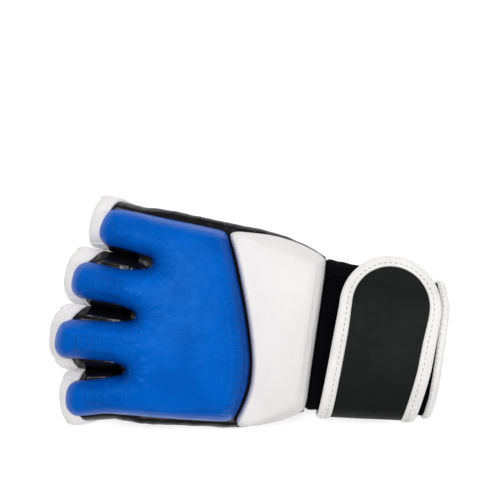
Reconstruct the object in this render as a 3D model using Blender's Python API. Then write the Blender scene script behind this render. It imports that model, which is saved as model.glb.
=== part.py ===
"""A right-hand grappling glove: foam knuckle and backhand pads under leather, a leather palm with a palm
opening and a thumb opening, four short finger sleeves, an elastic cuff and a hook-and-loop wrist strap.

The glove lies palm down. +Z is up, out of the back of the hand. The fingers point along -X, the wrist is
at +X, the little finger is at +Y and the thumb at -Y. All dimensions are in millimetres until a mesh is made.
"""

import math

import bmesh
import bpy
from mathutils import Vector

MM = 0.001

# ---- driving dimensions, in millimetres -----------------------------------------------------------------
BBOX_CENTRE = (-2.7, -4.2)  # middle of the finished glove in the drawing frame, moved to the origin below
GAP = 0.35  # clearance left between two sewn pieces
FOAM_GAP = 0.8  # clearance between a foam block and its cover
LEATHER = 1.5
LINING = 0.9
CUFF_WALL = 2.2

X_FRONT = -66.5  # front edge of the hand section, where the four finger sleeves start
X_HAND_END = 38.0  # where the backhand pad and the palm meet the cuff
X_CUFF_END = 108.0

X_FLEX, Z_FLEX = -68.5, 28.0  # the line that the finger sleeves bend about
STRAIGHTEN_SLOPE = math.tan(math.radians(16.0))  # clearance wedges: above the line for 15 degrees back,
CURL_SLOPE = math.tan(math.radians(36.0))  # and below it for 35 degrees of curl
FINGER_CURVE = 110.0  # radius of the moulded curl
FINGER_HALF_HEIGHT = 11.0

KNUCKLE_FOAM = 17.0
BACKHAND_FOAM = 12.0
FINGER_FOAM = 14.0
PAD_SPAN = 64.0  # degrees of the hand section, each way from the top, that the pads cover
SEAM_HALF = 2.9  # half the width of the channel between the two pads
PIPING_RADIUS = 1.0
PAD_ROUND = 11.0  # how far in from its seam a pad reaches its full height
PAD_LEAN = 0.16  # how far a pad's sides lean out, as a share of its height
PAD_FLATNESS = 3.4  # exponent of a pad's profile across the hand: the higher, the flatter its top

WRIST_HALF_HEIGHT = 17.4
WRIST_MIDDLE_Z = WRIST_HALF_HEIGHT + 2.25  # its rounded underside would reach 0.7 below its flat
WRIST_FLAT_Z = 2.95

STRAP_THICK = 2.6
STRAP_LIFT = 2.6  # strap's inner face above the cuff's top, where the pile and hook patches fit
LIFT_DEGREES = 140.0  # the strap reaches that height by here, on its way up from the thumb side
HOOK_THICK = 0.7

# stations along X: thumb side, little-finger side, bottom, widest height, lining height
HAND_STATIONS = (
    (-66.5, -65.0, 58.6, 16.6, 28.0, 37.6),
    (-45.0, -64.0, 58.0, 5.8, 25.2, 36.6),
    (-20.0, -62.0, 56.6, 1.6, 22.8, 34.6),
    (5.0, -58.8, 54.6, 1.0, 21.6, 33.2),
    (22.0, -53.0, 51.2, 1.1, 20.8, 32.6),
    (38.0, -45.4, 45.0, 2.0, 20.0, 33.0),
)

# finger: root y, fan angle in degrees, half width at the root and at the opening, sleeve length on the back
# of the finger, how much shorter it is on the palm side, foam lobe's half width and its shift to one side
FINGERS = {
    "pinky": (44.3, 7.0, 14.2, 13.8, 24.5, 9.0, 8.9, -2.6),
    "ring": (12.6, 5.0, 14.6, 14.5, 34.5, 15.0, 8.9, -2.6),
    "middle": (-19.3, -1.5, 15.0, 15.8, 39.0, 17.0, 9.6, -2.4),
    "index": (-50.2, -13.0, 14.0, 13.6, 26.5, 11.0, 8.6, 1.0),
}
FOAM_SETBACK = 7.0  # the foam lobe stops this far short of its sleeve's opening
FINGER_SQUARENESS = 2 / 2.7  # power of the sleeve's section, between a circle's 1 and a rectangle's 0
WEB_HALF_WIDTH, WEB_DEPTH, WEB_WALL = 3.6, 3.4, 1.2

PALM_OPENING = (-20.0, 17.0, 34.0, 25.5)  # centre x, centre y, half length, half width
THUMB_OPENING = (-10.0, 43.0, 33.0, 24.0)  # centre x, centre along the skin from the bottom, halves
OPENING_NARROWING = 0.16  # both openings are this much narrower at their finger ends
BINDING_WIDE = 7.0
BINDING_THICK = 3.4

STRAP_X = (47.0, 105.0)
STRAP_LEAN = 4.0  # how far the strap runs towards the wrist end on its way over the top
HINGE_DEGREES = 180.0  # on the thumb side of the wrist, where the strap swings open
PEEL_Y = -2.0  # on the top of the wrist, where the strap's end peels up
TIP_REACH = 51.0  # the strap's round end, past the cuff's little-finger side
TIP_LEAVES = 0.74  # share of the cuff's half width at which the strap's end stops following it down
TIP_DROOP = 0.55  # slope from there on, as a share of the cuff's
STRAP_TAPE_WIDE = 6.5
PILE_THICK = 0.8

PALETTE = {
    "blue_leather": ((0.003, 0.105, 0.52), 0.45),
    "white_leather": ((0.86, 0.84, 0.84), 0.5),
    "black_leather": ((0.012, 0.012, 0.015), 0.38),
    "white_binding": ((0.87, 0.86, 0.85), 0.55),
    "foam": ((0.35, 0.35, 0.37), 0.95),
    "navy_lining": ((0.006, 0.007, 0.02), 0.9),
    "black_elastic": ((0.004, 0.004, 0.006), 0.85),
    "black_pile": ((0.003, 0.003, 0.004), 0.98),
    "black_hook": ((0.01, 0.01, 0.011), 0.7),
}


# ---- small helpers --------------------------------------------------------------------------------------
def signed_power(value, power):
    return math.copysign(abs(value) ** power, value)


def between(x, stations, column):
    """Smooth value of one column of a station table at x."""
    for (low, high) in zip(stations, stations[1:]):
        if x <= high[0]:
            break
    share = min(1.0, max(0.0, (x - low[0]) / (high[0] - low[0])))
    i, last = stations.index(low), len(stations) - 1
    before, after = stations[max(0, i - 1)], stations[min(last, i + 2)]
    span = high[0] - low[0]
    slope_in = span * (high[column] - before[column]) / (high[0] - before[0])
    slope_out = span * (after[column] - low[column]) / (after[0] - low[0])
    t2, t3 = share**2, share**3
    return (
        (2 * t3 - 3 * t2 + 1) * low[column]
        + (t3 - 2 * t2 + share) * slope_in
        + (3 * t2 - 2 * t3) * high[column]
        + (t3 - t2) * slope_out
    )


def steps(start, end, count):
    """count + 1 evenly spaced values."""
    return [start + (end - start) * i / count for i in range(count + 1)]


def make_material(name):
    colour, roughness = PALETTE[name]
    made = bpy.data.materials.new(name)
    made.use_nodes = True
    shader = made.node_tree.nodes["Principled BSDF"]
    shader.inputs["Base Color"].default_value = (*colour, 1.0)
    shader.inputs["Roughness"].default_value = roughness
    shader.inputs["Metallic"].default_value = 0.0
    return made


def loft(name, rings, material, endless=False):
    """One solid through a row of closed loops with the same, even number of points.

    Its ends are capped by a ladder of faces between each loop's two halves, unless it is endless."""
    build = bmesh.new()
    loops = [[build.verts.new(Vector(point) * MM) for point in ring] for ring in rings]
    pairs = list(zip(loops, loops[1:]))
    if endless:
        pairs.append((loops[-1], loops[0]))
    for first, second in pairs:
        for i in range(len(first)):
            j = (i + 1) % len(first)
            build.faces.new((first[i], first[j], second[j], second[i]))
    if not endless:
        for end in (loops[0], loops[-1]):
            for i in range(len(end) // 2 - 1):
                build.faces.new((end[i], end[i + 1], end[-2 - i], end[-1 - i]))
    bmesh.ops.recalc_face_normals(build, faces=build.faces)
    mesh = bpy.data.meshes.new(name)
    build.to_mesh(mesh)
    build.free()
    mesh.shade_smooth()
    mesh.set_sharp_from_angle(angle=math.radians(40))
    mesh.materials.append(material)
    made = bpy.data.objects.new(name, mesh)
    PARTS.objects.link(made)
    made.parent = FRAME
    return made


def band(outer, inner):
    """Closed loop that runs along one line and back along the other."""
    return list(outer) + list(reversed(inner))


# ---- the hand section -----------------------------------------------------------------------------------
def hand_point(x, degrees, offset=0.0):
    """Point on the hand's outer skin: 0 degrees is the little-finger side and 90 the back of the hand."""
    thumb, little, bottom, middle, top = (between(x, HAND_STATIONS, i) for i in range(1, 6))
    cosine, sine = math.cos(math.radians(degrees)), math.sin(math.radians(degrees))
    half_width = (little - thumb) / 2 + offset
    half_height = (top - middle if sine > 0 else middle - bottom) + offset
    power = 2 / 2.4 if sine > 0 else 2 / 3.0
    y = (thumb + little) / 2 + half_width * signed_power(cosine, power)
    z = middle + half_height * signed_power(sine, power)
    return (x, y, z)


def seam_x(y):
    """Where the blue and the white pad meet, a curve that bulges towards the wrist on the thumb side."""
    apex_y, apex_x = -32.0, 3.6
    bend = 0.0036 if y > apex_y else 0.012
    return apex_x - bend * (y - apex_y) ** 2


def rounded_profile(count, power):
    """(across, rise) pairs over a pad: across goes from -1 to 1, rise from 0 up to 1 in the middle."""
    pairs = []
    for turn in steps(-math.pi / 2, math.pi / 2, count):
        across = math.sin(turn)
        pairs.append((across, max(0.0, 1 - abs(across) ** power) ** (1 / power)))
    return pairs


def pad_loop(x_at, count, height, grow):
    """Line over a pad, from the thumb side to the little-finger side; x_at gives x from y.

    grow moves it out from the foam's surface, for the cover."""
    line = []
    for across, rise in rounded_profile(count, PAD_FLATNESS):
        degrees = 90 - across * PAD_SPAN
        x, y, z = hand_point(x_at(hand_point(-20, degrees)[1]), degrees, GAP)
        lift = (height + grow) * rise
        line.append((x, y + PAD_LEAN * lift * across + grow * across, z + lift))
    return line


def base_loop(x_at, count):
    """The underside of a pad, on the lining."""
    line = []
    for across, _ in rounded_profile(count, PAD_FLATNESS):
        degrees = 90 - across * PAD_SPAN
        y = hand_point(-20, degrees)[1]
        line.append(hand_point(x_at(y), degrees, GAP * 0.9))
    return line


def end_round(distance, radius):
    """Share of a pad's full height at this distance from a rounded end."""
    inside = max(0.0, 1 - distance / radius)
    return max(0.16, (1 - inside**2.4) ** (1 / 2.4))


def make_hand_pad(name, front, back, height, leather, foam, rounded_front):
    """A foam block and the leather cover over it, between two lines given as x from y."""
    across, rows = 16, 7
    foam_rings, cover_rings = [], []
    for share in steps(0, 1, rows):
        share = 0.5 - 0.5 * math.cos(math.pi * share)
        length = back(0) - front(0)
        scale = end_round(length * (1 - share), PAD_ROUND)
        if rounded_front:
            scale = min(scale, end_round(length * share, PAD_ROUND))

        def line(inset, grow, share=share, thick=height * scale):
            def x_at(y):
                start = front(y) + (inset if rounded_front else 0.0)
                return start + (back(y) - inset - start) * share

            if grow is None:
                return base_loop(x_at, across)
            return pad_loop(x_at, across, thick, grow)

        foam_inset = LEATHER + FOAM_GAP
        foam_rings.append(band(line(foam_inset, 0.0), line(foam_inset, None)))
        cover_rings.append(band(line(0.0, foam_inset), line(LEATHER, FOAM_GAP)))
    loft(name + "_foam", foam_rings, foam)
    loft(name + "_cover", cover_rings, leather)


def make_pads(materials):
    make_hand_pad(
        "knuckle", lambda y: X_FRONT, lambda y: seam_x(y) - SEAM_HALF, KNUCKLE_FOAM,
        materials["blue_leather"], materials["foam"], False,
    )
    make_hand_pad(
        "backhand", lambda y: seam_x(y) + SEAM_HALF, lambda y: X_HAND_END - 1.0, BACKHAND_FOAM,
        materials["white_leather"], materials["foam"], True,
    )
    line = []
    for across, _ in rounded_profile(16, PAD_FLATNESS):
        degrees = 90 - across * (PAD_SPAN - 5)
        line.append(hand_point(seam_x(hand_point(-20, degrees)[1]), degrees, GAP + PIPING_RADIUS + 0.3))
    make_tube("seam_piping", line, PIPING_RADIUS, materials["black_leather"])


def make_tube(name, line, radius, material):
    """A cord of round section along a line, as a bevelled curve."""
    curve = bpy.data.curves.new(name, "CURVE")
    curve.dimensions = "3D"
    curve.bevel_depth = radius * MM
    curve.bevel_resolution = 1
    curve.use_fill_caps = True
    spline = curve.splines.new("POLY")
    spline.points.add(len(line) - 1)
    for point, place in zip(spline.points, line):
        point.co = (*(Vector(place) * MM), 1.0)
    curve.materials.append(material)
    made = bpy.data.objects.new(name, curve)
    PARTS.objects.link(made)
    made.parent = FRAME
    return made


def make_lining(material):
    rings = []
    for x in steps(X_FRONT + 0.5, X_HAND_END - 2, 6):
        outer = [hand_point(x, degrees, -GAP) for degrees in steps(154, 26, 16)]
        inner = [hand_point(x, degrees, -GAP - LINING) for degrees in steps(154, 26, 16)]
        rings.append(band(outer, inner))
    loft("hand_lining", rings, material)


# ---- palm and its openings ------------------------------------------------------------------------------
def skin_length_table(x):
    """(length of skin from the bottom, angle) pairs round the lower thumb side of the section at x."""
    table, length, previous = [], 0.0, None
    for degrees in steps(270, 172, 70):
        point = Vector(hand_point(x, degrees))
        if previous is not None:
            length += (point - previous).length
        table.append((length, degrees))
        previous = point
    return table


def thumb_point(x, along, offset=0.0):
    """Point on the palm's skin at x, this far along it from the bottom towards the thumb side."""
    table = skin_length_table(x)
    for (low, high) in zip(table, table[1:]):
        if along <= high[0]:
            break
    share = (along - low[0]) / (high[0] - low[0])
    return hand_point(x, low[1] + share * (high[1] - low[1]), offset)


def palm_floor(x, y, offset=0.0):
    """Point on the palm's flat underside above (x, y)."""
    thumb, little, bottom, middle, _ = (between(x, HAND_STATIONS, i) for i in range(1, 6))
    reach = min(0.999, abs(y - (thumb + little) / 2) / ((little - thumb) / 2))
    z = middle - (middle - bottom + offset) * (1 - reach**3.0) ** (1 / 3.0)
    return (x, y, z)


def opening_point(kind, lengthwise, crosswise, grow, offset):
    """Point of an opening from -1..1 along and across it, grown within the skin and lifted off it."""
    centre, middle, half_long, half_wide = PALM_OPENING if kind == "palm" else THUMB_OPENING
    narrow = 1 - OPENING_NARROWING * max(0.0, -lengthwise)
    x = centre + (half_long + grow) * lengthwise
    across = middle + (half_wide + grow) * crosswise * narrow
    return palm_floor(x, across, offset) if kind == "palm" else thumb_point(x, across, offset)


def opening_line(kind, grow, offset, count):
    """Closed line round an opening."""
    turns = [2 * math.pi * i / count for i in range(count)]
    return [opening_point(kind, math.cos(turn), math.sin(turn), grow, offset) for turn in turns]


def make_opening_cutter(kind, material):
    """A solid that fills an opening and reaches past both faces of the leather."""
    rings = []
    for turn in steps(math.radians(176), math.radians(4), 18):
        lengthwise, half = math.cos(turn), math.sin(turn)
        outer = [opening_point(kind, lengthwise, half * s, GAP, 6.0) for s in steps(-1, 1, 8)]
        inner = [opening_point(kind, lengthwise, half * s, GAP, -6.0) for s in steps(-1, 1, 8)]
        rings.append(band(outer, inner))
    cutter = loft(kind + "_opening_cutter", rings, material)
    PARTS.objects.unlink(cutter)
    CUTTERS.objects.link(cutter)
    cutter.hide_render = True
    cutter.display_type = "WIRE"
    return cutter


def make_opening_binding(kind, material):
    """A folded tape round an opening: a flat loop that lies in the thickness of the palm's edge."""
    count, half = 30, BINDING_THICK / 2
    middle = -LEATHER / 2
    corners = ((0.0, half * 0.6), (-BINDING_WIDE / 2, half), (-BINDING_WIDE, half * 0.6))
    corners += tuple((grow, -lift) for grow, lift in reversed(corners))
    lines = [opening_line(kind, grow, middle + lift, count) for grow, lift in corners]
    rings = [[line[i] for line in lines] for i in range(count)]
    loft(kind + "_opening_binding", rings, material, endless=True)


def make_palm(material):
    """The leather from pad seam to pad seam round the palm, cut by its two openings."""
    rings = []
    for x in steps(X_FRONT, X_HAND_END - 0.6, 8):
        outer = [hand_point(x, degrees, 0.0) for degrees in steps(157, 383, 24)]
        inner = [hand_point(x, degrees, -LEATHER) for degrees in steps(157, 383, 24)]
        rings.append(band(outer, inner))
    palm = loft("palm_panel", rings, material)
    for kind in ("palm", "thumb"):
        cutter = make_opening_cutter(kind, material)
        cut = palm.modifiers.new(kind + " opening", "BOOLEAN")
        cut.operation = "DIFFERENCE"
        cut.object = cutter


# ---- fingers --------------------------------------------------------------------------------------------
def finger_place(finger, along, across, up):
    """Drawing-frame point from distance along the curled finger, across it and above its centre line."""
    root_y, fan, root_half = FINGERS[finger][:3]
    turn = along / FINGER_CURVE
    forward = (FINGER_CURVE + up) * math.sin(turn)
    z = Z_FLEX - FINGER_CURVE + (FINGER_CURVE + up) * math.cos(turn)
    angle = math.radians(fan)
    root_x = X_FLEX - root_half * abs(math.sin(angle))
    return (
        root_x - forward * math.cos(angle) + across * math.sin(angle),
        root_y + forward * math.sin(angle) + across * math.cos(angle),
        z,
    )


def wedge_start(up):
    """How far along a finger its pieces start, so that the bend at the knuckle line is free."""
    return 0.6 + (STRAIGHTEN_SLOPE if up > 0 else CURL_SLOPE) * abs(up)


def sleeve_line(finger, share, offset, count, past=0.0):
    """Closed line round a finger sleeve at this share of its length, past millimetres further on."""
    _, _, root_half, end_half, length, shorter, _, _ = FINGERS[finger]
    line = []
    for i in range(count):
        turn = 2 * math.pi * i / count
        half = root_half + (end_half - root_half) * share + offset
        across = half * signed_power(math.cos(turn), FINGER_SQUARENESS)
        up = (FINGER_HALF_HEIGHT + offset) * signed_power(math.sin(turn), FINGER_SQUARENESS)
        start = wedge_start(up)
        end = length - shorter * (1 - up / FINGER_HALF_HEIGHT) / 2
        line.append(finger_place(finger, start + (end - start) * share + past, across, up))
    return line


def make_sleeve(finger, material):
    count = 20
    shares = steps(0, 1, 2)
    outer = [sleeve_line(finger, share, 0.0, count) for share in shares]
    inner = [sleeve_line(finger, share, -LEATHER, count) for share in reversed(shares)]
    loft(finger + "_sleeve", outer + inner, material, endless=True)


def make_sleeve_binding(finger, material):
    """The folded tape over the sleeve's open edge."""
    count, wide = 20, GAP + 1.1
    profile = (
        (-3.0, GAP), (-2.0, wide), (2.2, wide), (3.4, -LEATHER / 2), (2.2, -LEATHER - wide),
        (-2.0, -LEATHER - wide), (-3.0, -LEATHER - GAP), (GAP, -LEATHER - GAP), (GAP, GAP),
    )
    lines = [sleeve_line(finger, 1.0, offset, count, past) for past, offset in profile]
    loft(finger + "_binding", lines, material, endless=True)


def lobe_line(finger, share, height, grow, count):
    """Line over a finger's foam lobe, from its thumb side to its little-finger side."""
    _, _, root_half, end_half, length, _, foam_half, shift = FINGERS[finger]
    end = length - FOAM_SETBACK
    past = max(0.0, (share - 0.55) / 0.45)
    taper = (1 - 0.9 * past**2.6) ** (1 / 2.2)
    line = []
    for side, bulge in rounded_profile(count, 3.0):
        across = shift + (foam_half * (0.35 + 0.65 * taper) + grow) * side
        half = root_half + (end_half - root_half) * share
        skin = FINGER_HALF_HEIGHT * (1 - min(0.98, abs(across / half)) ** 2.7) ** (1 / 2.7)
        rise = (height * taper + grow) * bulge
        up = skin + GAP + rise
        start = wedge_start(up)
        line.append(finger_place(finger, start + (end + grow - start) * share, across, up))
    return line


def make_lobe(finger, leather, foam):
    """The finger's foam lobe and the part of the blue cover over it."""
    count, shares = 10, [0, 0.3, 0.55, 0.75, 0.9, 1.0]
    foam_rings = [
        band(lobe_line(finger, s, FINGER_FOAM, 0.0, count), lobe_line(finger, s, 0.0, 0.0, count))
        for s in shares
    ]
    cover_rings = [
        band(
            lobe_line(finger, s, FINGER_FOAM, FOAM_GAP + LEATHER, count),
            lobe_line(finger, s, FINGER_FOAM, FOAM_GAP, count),
        )
        for s in shares
    ]
    loft(finger + "_foam", foam_rings, foam)
    loft(finger + "_cover", cover_rings, leather)


def make_web(name, low_finger, high_finger, material):
    """The gusset that closes the hand section between two finger sleeves."""
    y = (
        FINGERS[low_finger][0] + FINGERS[low_finger][2]
        + FINGERS[high_finger][0] - FINGERS[high_finger][2]
    ) / 2
    inner_half, inner_depth = WEB_HALF_WIDTH - WEB_WALL, WEB_DEPTH - WEB_WALL
    rings = []
    for z in (Z_FLEX - FINGER_HALF_HEIGHT + 2.0, Z_FLEX + FINGER_HALF_HEIGHT - 6.0):
        outer, inner = [], []
        for turn in steps(-90, 90, 8):
            cosine, sine = math.cos(math.radians(turn)), math.sin(math.radians(turn))
            outer.append((X_FRONT + 0.4 + WEB_DEPTH * cosine, y + WEB_HALF_WIDTH * sine, z))
            inner.append((X_FRONT + 0.4 + inner_depth * cosine, y + inner_half * sine, z))
        rings.append(band(outer, inner))
    loft(name, rings, material)


# ---- wrist ----------------------------------------------------------------------------------------------
def wrist_width(x):
    """The wrist's middle and half width, which narrows towards the arm."""
    share = (x - X_HAND_END) / (X_CUFF_END - X_HAND_END)
    return 0.8 * share, 44.4 - 6.0 * share


def wrist_point(x, degrees, offset=0.0):
    """Point round the wrist: 0 degrees is the little-finger side. Its underside is flat in the middle."""
    middle_y, half_width = wrist_width(x)
    cosine, sine = math.cos(math.radians(degrees)), math.sin(math.radians(degrees))
    y = middle_y + (half_width + offset) * signed_power(cosine, 2 / 2.5)
    z = WRIST_MIDDLE_Z + (WRIST_HALF_HEIGHT + offset) * signed_power(sine, 2 / 2.5)
    return (x, y, max(z, WRIST_FLAT_Z - offset))


def make_cuff(materials):
    count = 32
    turns = [360 * i / count for i in range(count)]
    stations = steps(X_HAND_END + 0.4, X_CUFF_END, 3)
    outer = [[wrist_point(x, turn) for turn in turns] for x in stations]
    inner = [[wrist_point(x, turn, -CUFF_WALL) for turn in turns] for x in reversed(stations)]
    loft("wrist_cuff", outer + inner, materials["black_elastic"], endless=True)

    low, high = GAP + 1.1, -CUFF_WALL - GAP - 1.1
    profile = (
        (X_CUFF_END - 3.0, GAP), (X_CUFF_END - 1.2, low), (X_CUFF_END + 1.4, low),
        (X_CUFF_END + 1.4, high), (X_CUFF_END - 1.2, high),
        (X_CUFF_END - 3.0, -CUFF_WALL - GAP), (X_CUFF_END + GAP, -CUFF_WALL - GAP), (X_CUFF_END + GAP, GAP),
    )
    lines = [[wrist_point(x, turn, offset) for turn in turns] for x, offset in profile]
    loft("cuff_binding", lines, materials["white_binding"], endless=True)

    rings = []
    for x in steps(X_HAND_END + 1.5, X_CUFF_END - 4.0, 3):
        outer = [wrist_point(x, degrees, GAP + PILE_THICK) for degrees in steps(140, 40, 14)]
        inner = [wrist_point(x, degrees, GAP) for degrees in steps(140, 40, 14)]
        rings.append(band(outer, inner))
    loft("cuff_pile_patch", rings, materials["black_pile"])


def strap_edges(y):
    """The strap's front and back edges where it crosses y; it leans towards the wrist as y grows."""
    lean = STRAP_LEAN * (y + 45) / 90
    return STRAP_X[0] + lean - 2.0, STRAP_X[1] + lean - 2.0


def strap_lift(degrees):
    """Height of the strap's inner face off the cuff: sewn down below, and over the patches on top."""
    share = min(1.0, max(0.0, (HINGE_DEGREES - degrees) / (HINGE_DEGREES - LIFT_DEGREES)))
    return GAP + (STRAP_LIFT - GAP) * share


def strap_bar(name, turns, inset, material, side=None):
    """A stretch of the strap's band, inset from its edges.

    side keeps a strip of the front or the back edge only, for the tape sewn over it."""
    rings = []
    for degrees in turns:
        low = strap_lift(degrees)
        high = low + STRAP_THICK
        y = wrist_point(75, min(degrees, HINGE_DEGREES))[1]  # it leans only on its way over the top
        front, back = strap_edges(y)
        front, back = front + inset, back - inset
        if side == "front":
            front, back = front - inset, front - GAP
        if side == "back":
            front, back = back + GAP, back + inset
        ring = [wrist_point(x, degrees, high) for x in (front, back)]
        ring += [wrist_point(x, degrees, low) for x in (back, front)]
        rings.append(ring)
    return loft(name, rings, material)


def tip_outline(grow, count):
    """(x, y) along the strap's peeling end: out along the front edge, round the end and back."""
    front, back = strap_edges(20)
    radius = (back - front) / 2
    centre_x, centre_y = (front + back) / 2, TIP_REACH - radius
    straight = steps(PEEL_Y + 0.8, centre_y, 4)[:-1]
    line = [(strap_edges(y)[0] - grow, y) for y in straight]
    for turn in steps(180, 0, count):
        cosine, sine = math.cos(math.radians(turn)), math.sin(math.radians(turn))
        line.append((centre_x + (radius + grow) * cosine, centre_y + (radius + grow) * sine))
    line += [(strap_edges(y)[1] + grow, y) for y in reversed(straight)]
    return line


def tip_height(x, y, offset):
    """Height of the strap's end above (x, y): it follows the cuff's top, then goes straight out past it."""
    middle_y, half_width = wrist_width(x)
    reach = abs(y - middle_y) / (half_width + offset)
    curve = (1 - min(reach, TIP_LEAVES) ** 2.5) ** (1 / 2.5)
    slope = TIP_LEAVES**1.5 * (1 - TIP_LEAVES**2.5) ** (1 / 2.5 - 1)
    beyond = max(0.0, reach - TIP_LEAVES)
    return WRIST_MIDDLE_Z + (WRIST_HALF_HEIGHT + offset) * (curve - TIP_DROOP * slope * beyond)


def make_tip_sheet(name, outline, low, high, material, hole=None):
    """A sheet of the strap's end between two offsets. With a hole it is only the border between two lines."""
    if hole is None:
        rows = len(outline) // 2
        rings = []
        for i in range(rows):
            (x0, y0), (x1, y1) = outline[i], outline[-1 - i]
            ring = [(x, y0, tip_height(x, y0, high)) for x in steps(x0, x1, 4)]
            ring += [(x, y1, tip_height(x, y1, low)) for x in steps(x1, x0, 4)]
            rings.append(ring)
    else:
        rings = []
        for (x0, y0), (x1, y1) in zip(outline, hole):
            rings.append([
                (x0, y0, tip_height(x0, y0, high)), (x1, y1, tip_height(x1, y1, high)),
                (x1, y1, tip_height(x1, y1, low)), (x0, y0, tip_height(x0, y0, low)),
            ])
    return loft(name, rings, material)


def make_strap(materials):
    leather, tape = materials["black_leather"], materials["white_binding"]
    low, high = STRAP_LIFT, STRAP_LIFT + STRAP_THICK
    peel_degrees = 90 + math.degrees(math.asin((-PEEL_Y / 44.0) ** (2.5 / 2)))
    anchor = steps(HINGE_DEGREES + 1.2, 336, 18)
    flap = steps(HINGE_DEGREES - 1.2, peel_degrees + 0.6, 10)
    for name, turns in (("strap_anchor", anchor), ("strap_flap", flap)):
        strap_bar(name, turns, STRAP_TAPE_WIDE, leather)
        strap_bar(name + "_front_tape", turns, STRAP_TAPE_WIDE, tape, "front")
        strap_bar(name + "_back_tape", turns, STRAP_TAPE_WIDE, tape, "back")
    panel = tip_outline(-STRAP_TAPE_WIDE, 15)
    make_tip_sheet("strap_tip", panel, low, high, leather)
    make_tip_sheet(
        "strap_tip_tape", tip_outline(0.0, 15), low, high, tape, tip_outline(GAP - STRAP_TAPE_WIDE, 15),
    )
    patch = [(x, max(y, PEEL_Y + 3.0)) for x, y in tip_outline(-STRAP_TAPE_WIDE - 2.5, 15) if y < 33]
    make_tip_sheet("strap_hook_patch", patch, low - GAP - HOOK_THICK, low - GAP, materials["black_hook"])


# ---- assembly -------------------------------------------------------------------------------------------
for leftover in list(bpy.data.objects):
    bpy.data.objects.remove(leftover)

PARTS = bpy.data.collections.new("mma_glove")
CUTTERS = bpy.data.collections.new("cutters")
for group in (PARTS, CUTTERS):
    bpy.context.scene.collection.children.link(group)
FRAME = bpy.data.objects.new("glove_frame", None)
FRAME.location = (-BBOX_CENTRE[0] * MM, -BBOX_CENTRE[1] * MM, 0.0)
PARTS.objects.link(FRAME)

MATERIALS = {name: make_material(name) for name in PALETTE}
make_pads(MATERIALS)
make_lining(MATERIALS["navy_lining"])
make_palm(MATERIALS["black_leather"])
make_opening_binding("palm", MATERIALS["white_binding"])
make_opening_binding("thumb", MATERIALS["white_binding"])
for finger_name in FINGERS:
    make_sleeve(finger_name, MATERIALS["black_leather"])
    make_sleeve_binding(finger_name, MATERIALS["white_binding"])
    make_lobe(finger_name, MATERIALS["blue_leather"], MATERIALS["foam"])
make_web("web_index_middle", "index", "middle", MATERIALS["black_leather"])
make_web("web_middle_ring", "middle", "ring", MATERIALS["black_leather"])
make_web("web_ring_pinky", "ring", "pinky", MATERIALS["black_leather"])
make_cuff(MATERIALS)
make_strap(MATERIALS)
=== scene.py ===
"""The looks of a right-hand grappling glove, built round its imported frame.

Lengths are in millimetres in a drawing frame until a mesh is made: the fingers point along -X, the little
finger is at +Y, and +Z is up, out of the back of the hand. SHIFT moves the drawing frame to the row frame.
"""

import math

import bpy
import numpy as np
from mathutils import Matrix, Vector, geometry, noise


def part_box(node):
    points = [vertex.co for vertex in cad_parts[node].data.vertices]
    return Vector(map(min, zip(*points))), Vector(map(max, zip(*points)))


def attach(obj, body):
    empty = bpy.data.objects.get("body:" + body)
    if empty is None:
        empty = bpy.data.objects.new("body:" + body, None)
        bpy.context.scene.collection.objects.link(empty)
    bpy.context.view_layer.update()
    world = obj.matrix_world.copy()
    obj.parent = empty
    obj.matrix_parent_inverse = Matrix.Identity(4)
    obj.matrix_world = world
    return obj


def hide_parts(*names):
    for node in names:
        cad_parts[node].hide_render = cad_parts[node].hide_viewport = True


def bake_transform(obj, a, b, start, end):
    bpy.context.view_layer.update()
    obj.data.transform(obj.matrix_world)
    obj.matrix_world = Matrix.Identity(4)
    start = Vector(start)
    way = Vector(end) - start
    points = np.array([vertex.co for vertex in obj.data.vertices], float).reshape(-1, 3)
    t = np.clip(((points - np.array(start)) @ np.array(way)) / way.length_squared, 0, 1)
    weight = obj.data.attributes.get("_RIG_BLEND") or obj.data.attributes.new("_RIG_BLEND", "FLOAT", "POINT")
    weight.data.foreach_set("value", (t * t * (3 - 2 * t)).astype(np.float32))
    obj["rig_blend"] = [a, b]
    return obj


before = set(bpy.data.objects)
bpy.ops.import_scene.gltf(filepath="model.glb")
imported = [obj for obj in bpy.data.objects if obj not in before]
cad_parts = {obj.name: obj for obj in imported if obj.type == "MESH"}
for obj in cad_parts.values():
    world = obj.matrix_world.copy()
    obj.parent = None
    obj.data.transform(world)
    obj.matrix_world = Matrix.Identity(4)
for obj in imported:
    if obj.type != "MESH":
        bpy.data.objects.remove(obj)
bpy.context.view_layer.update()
MM = 0.001

# ---- the frame's dimensions, as in the CAD model --------------------------------------------------------
X_HAND_END = 38.0  # where the backhand pad and the palm meet the cuff
X_CUFF_END = 108.0
Z_FLEX = 28.0  # height of the line that the fingers bend about
X_FLEX = -68.5
FINGER_CURVE = 110.0
FINGER_HALF_HEIGHT = 11.0
# x, thumb side, little-finger side, bottom, widest height, top
HAND_STATIONS = np.array([
    (-66.5, -65.0, 58.6, 16.6, 28.0, 37.6),
    (-45.0, -64.0, 58.0, 5.8, 25.2, 36.6),
    (-20.0, -62.0, 56.6, 1.6, 22.8, 34.6),
    (5.0, -58.8, 54.6, 1.0, 21.6, 33.2),
    (22.0, -53.0, 51.2, 1.1, 20.8, 32.6),
    (38.0, -45.4, 45.0, 2.0, 20.0, 33.0),
])
X_ROOTS = HAND_STATIONS[0, 0]  # the hand's section is level from here forwards
# Exponents of the sections' superellipses: 2 is an ellipse, and more is squarer.
HAND_TOP_SQUARE = 2.4
HAND_BOTTOM_SQUARE = 3.0
FINGER_SQUARE = 2.7
WRIST_SQUARE = 2.5

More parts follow.
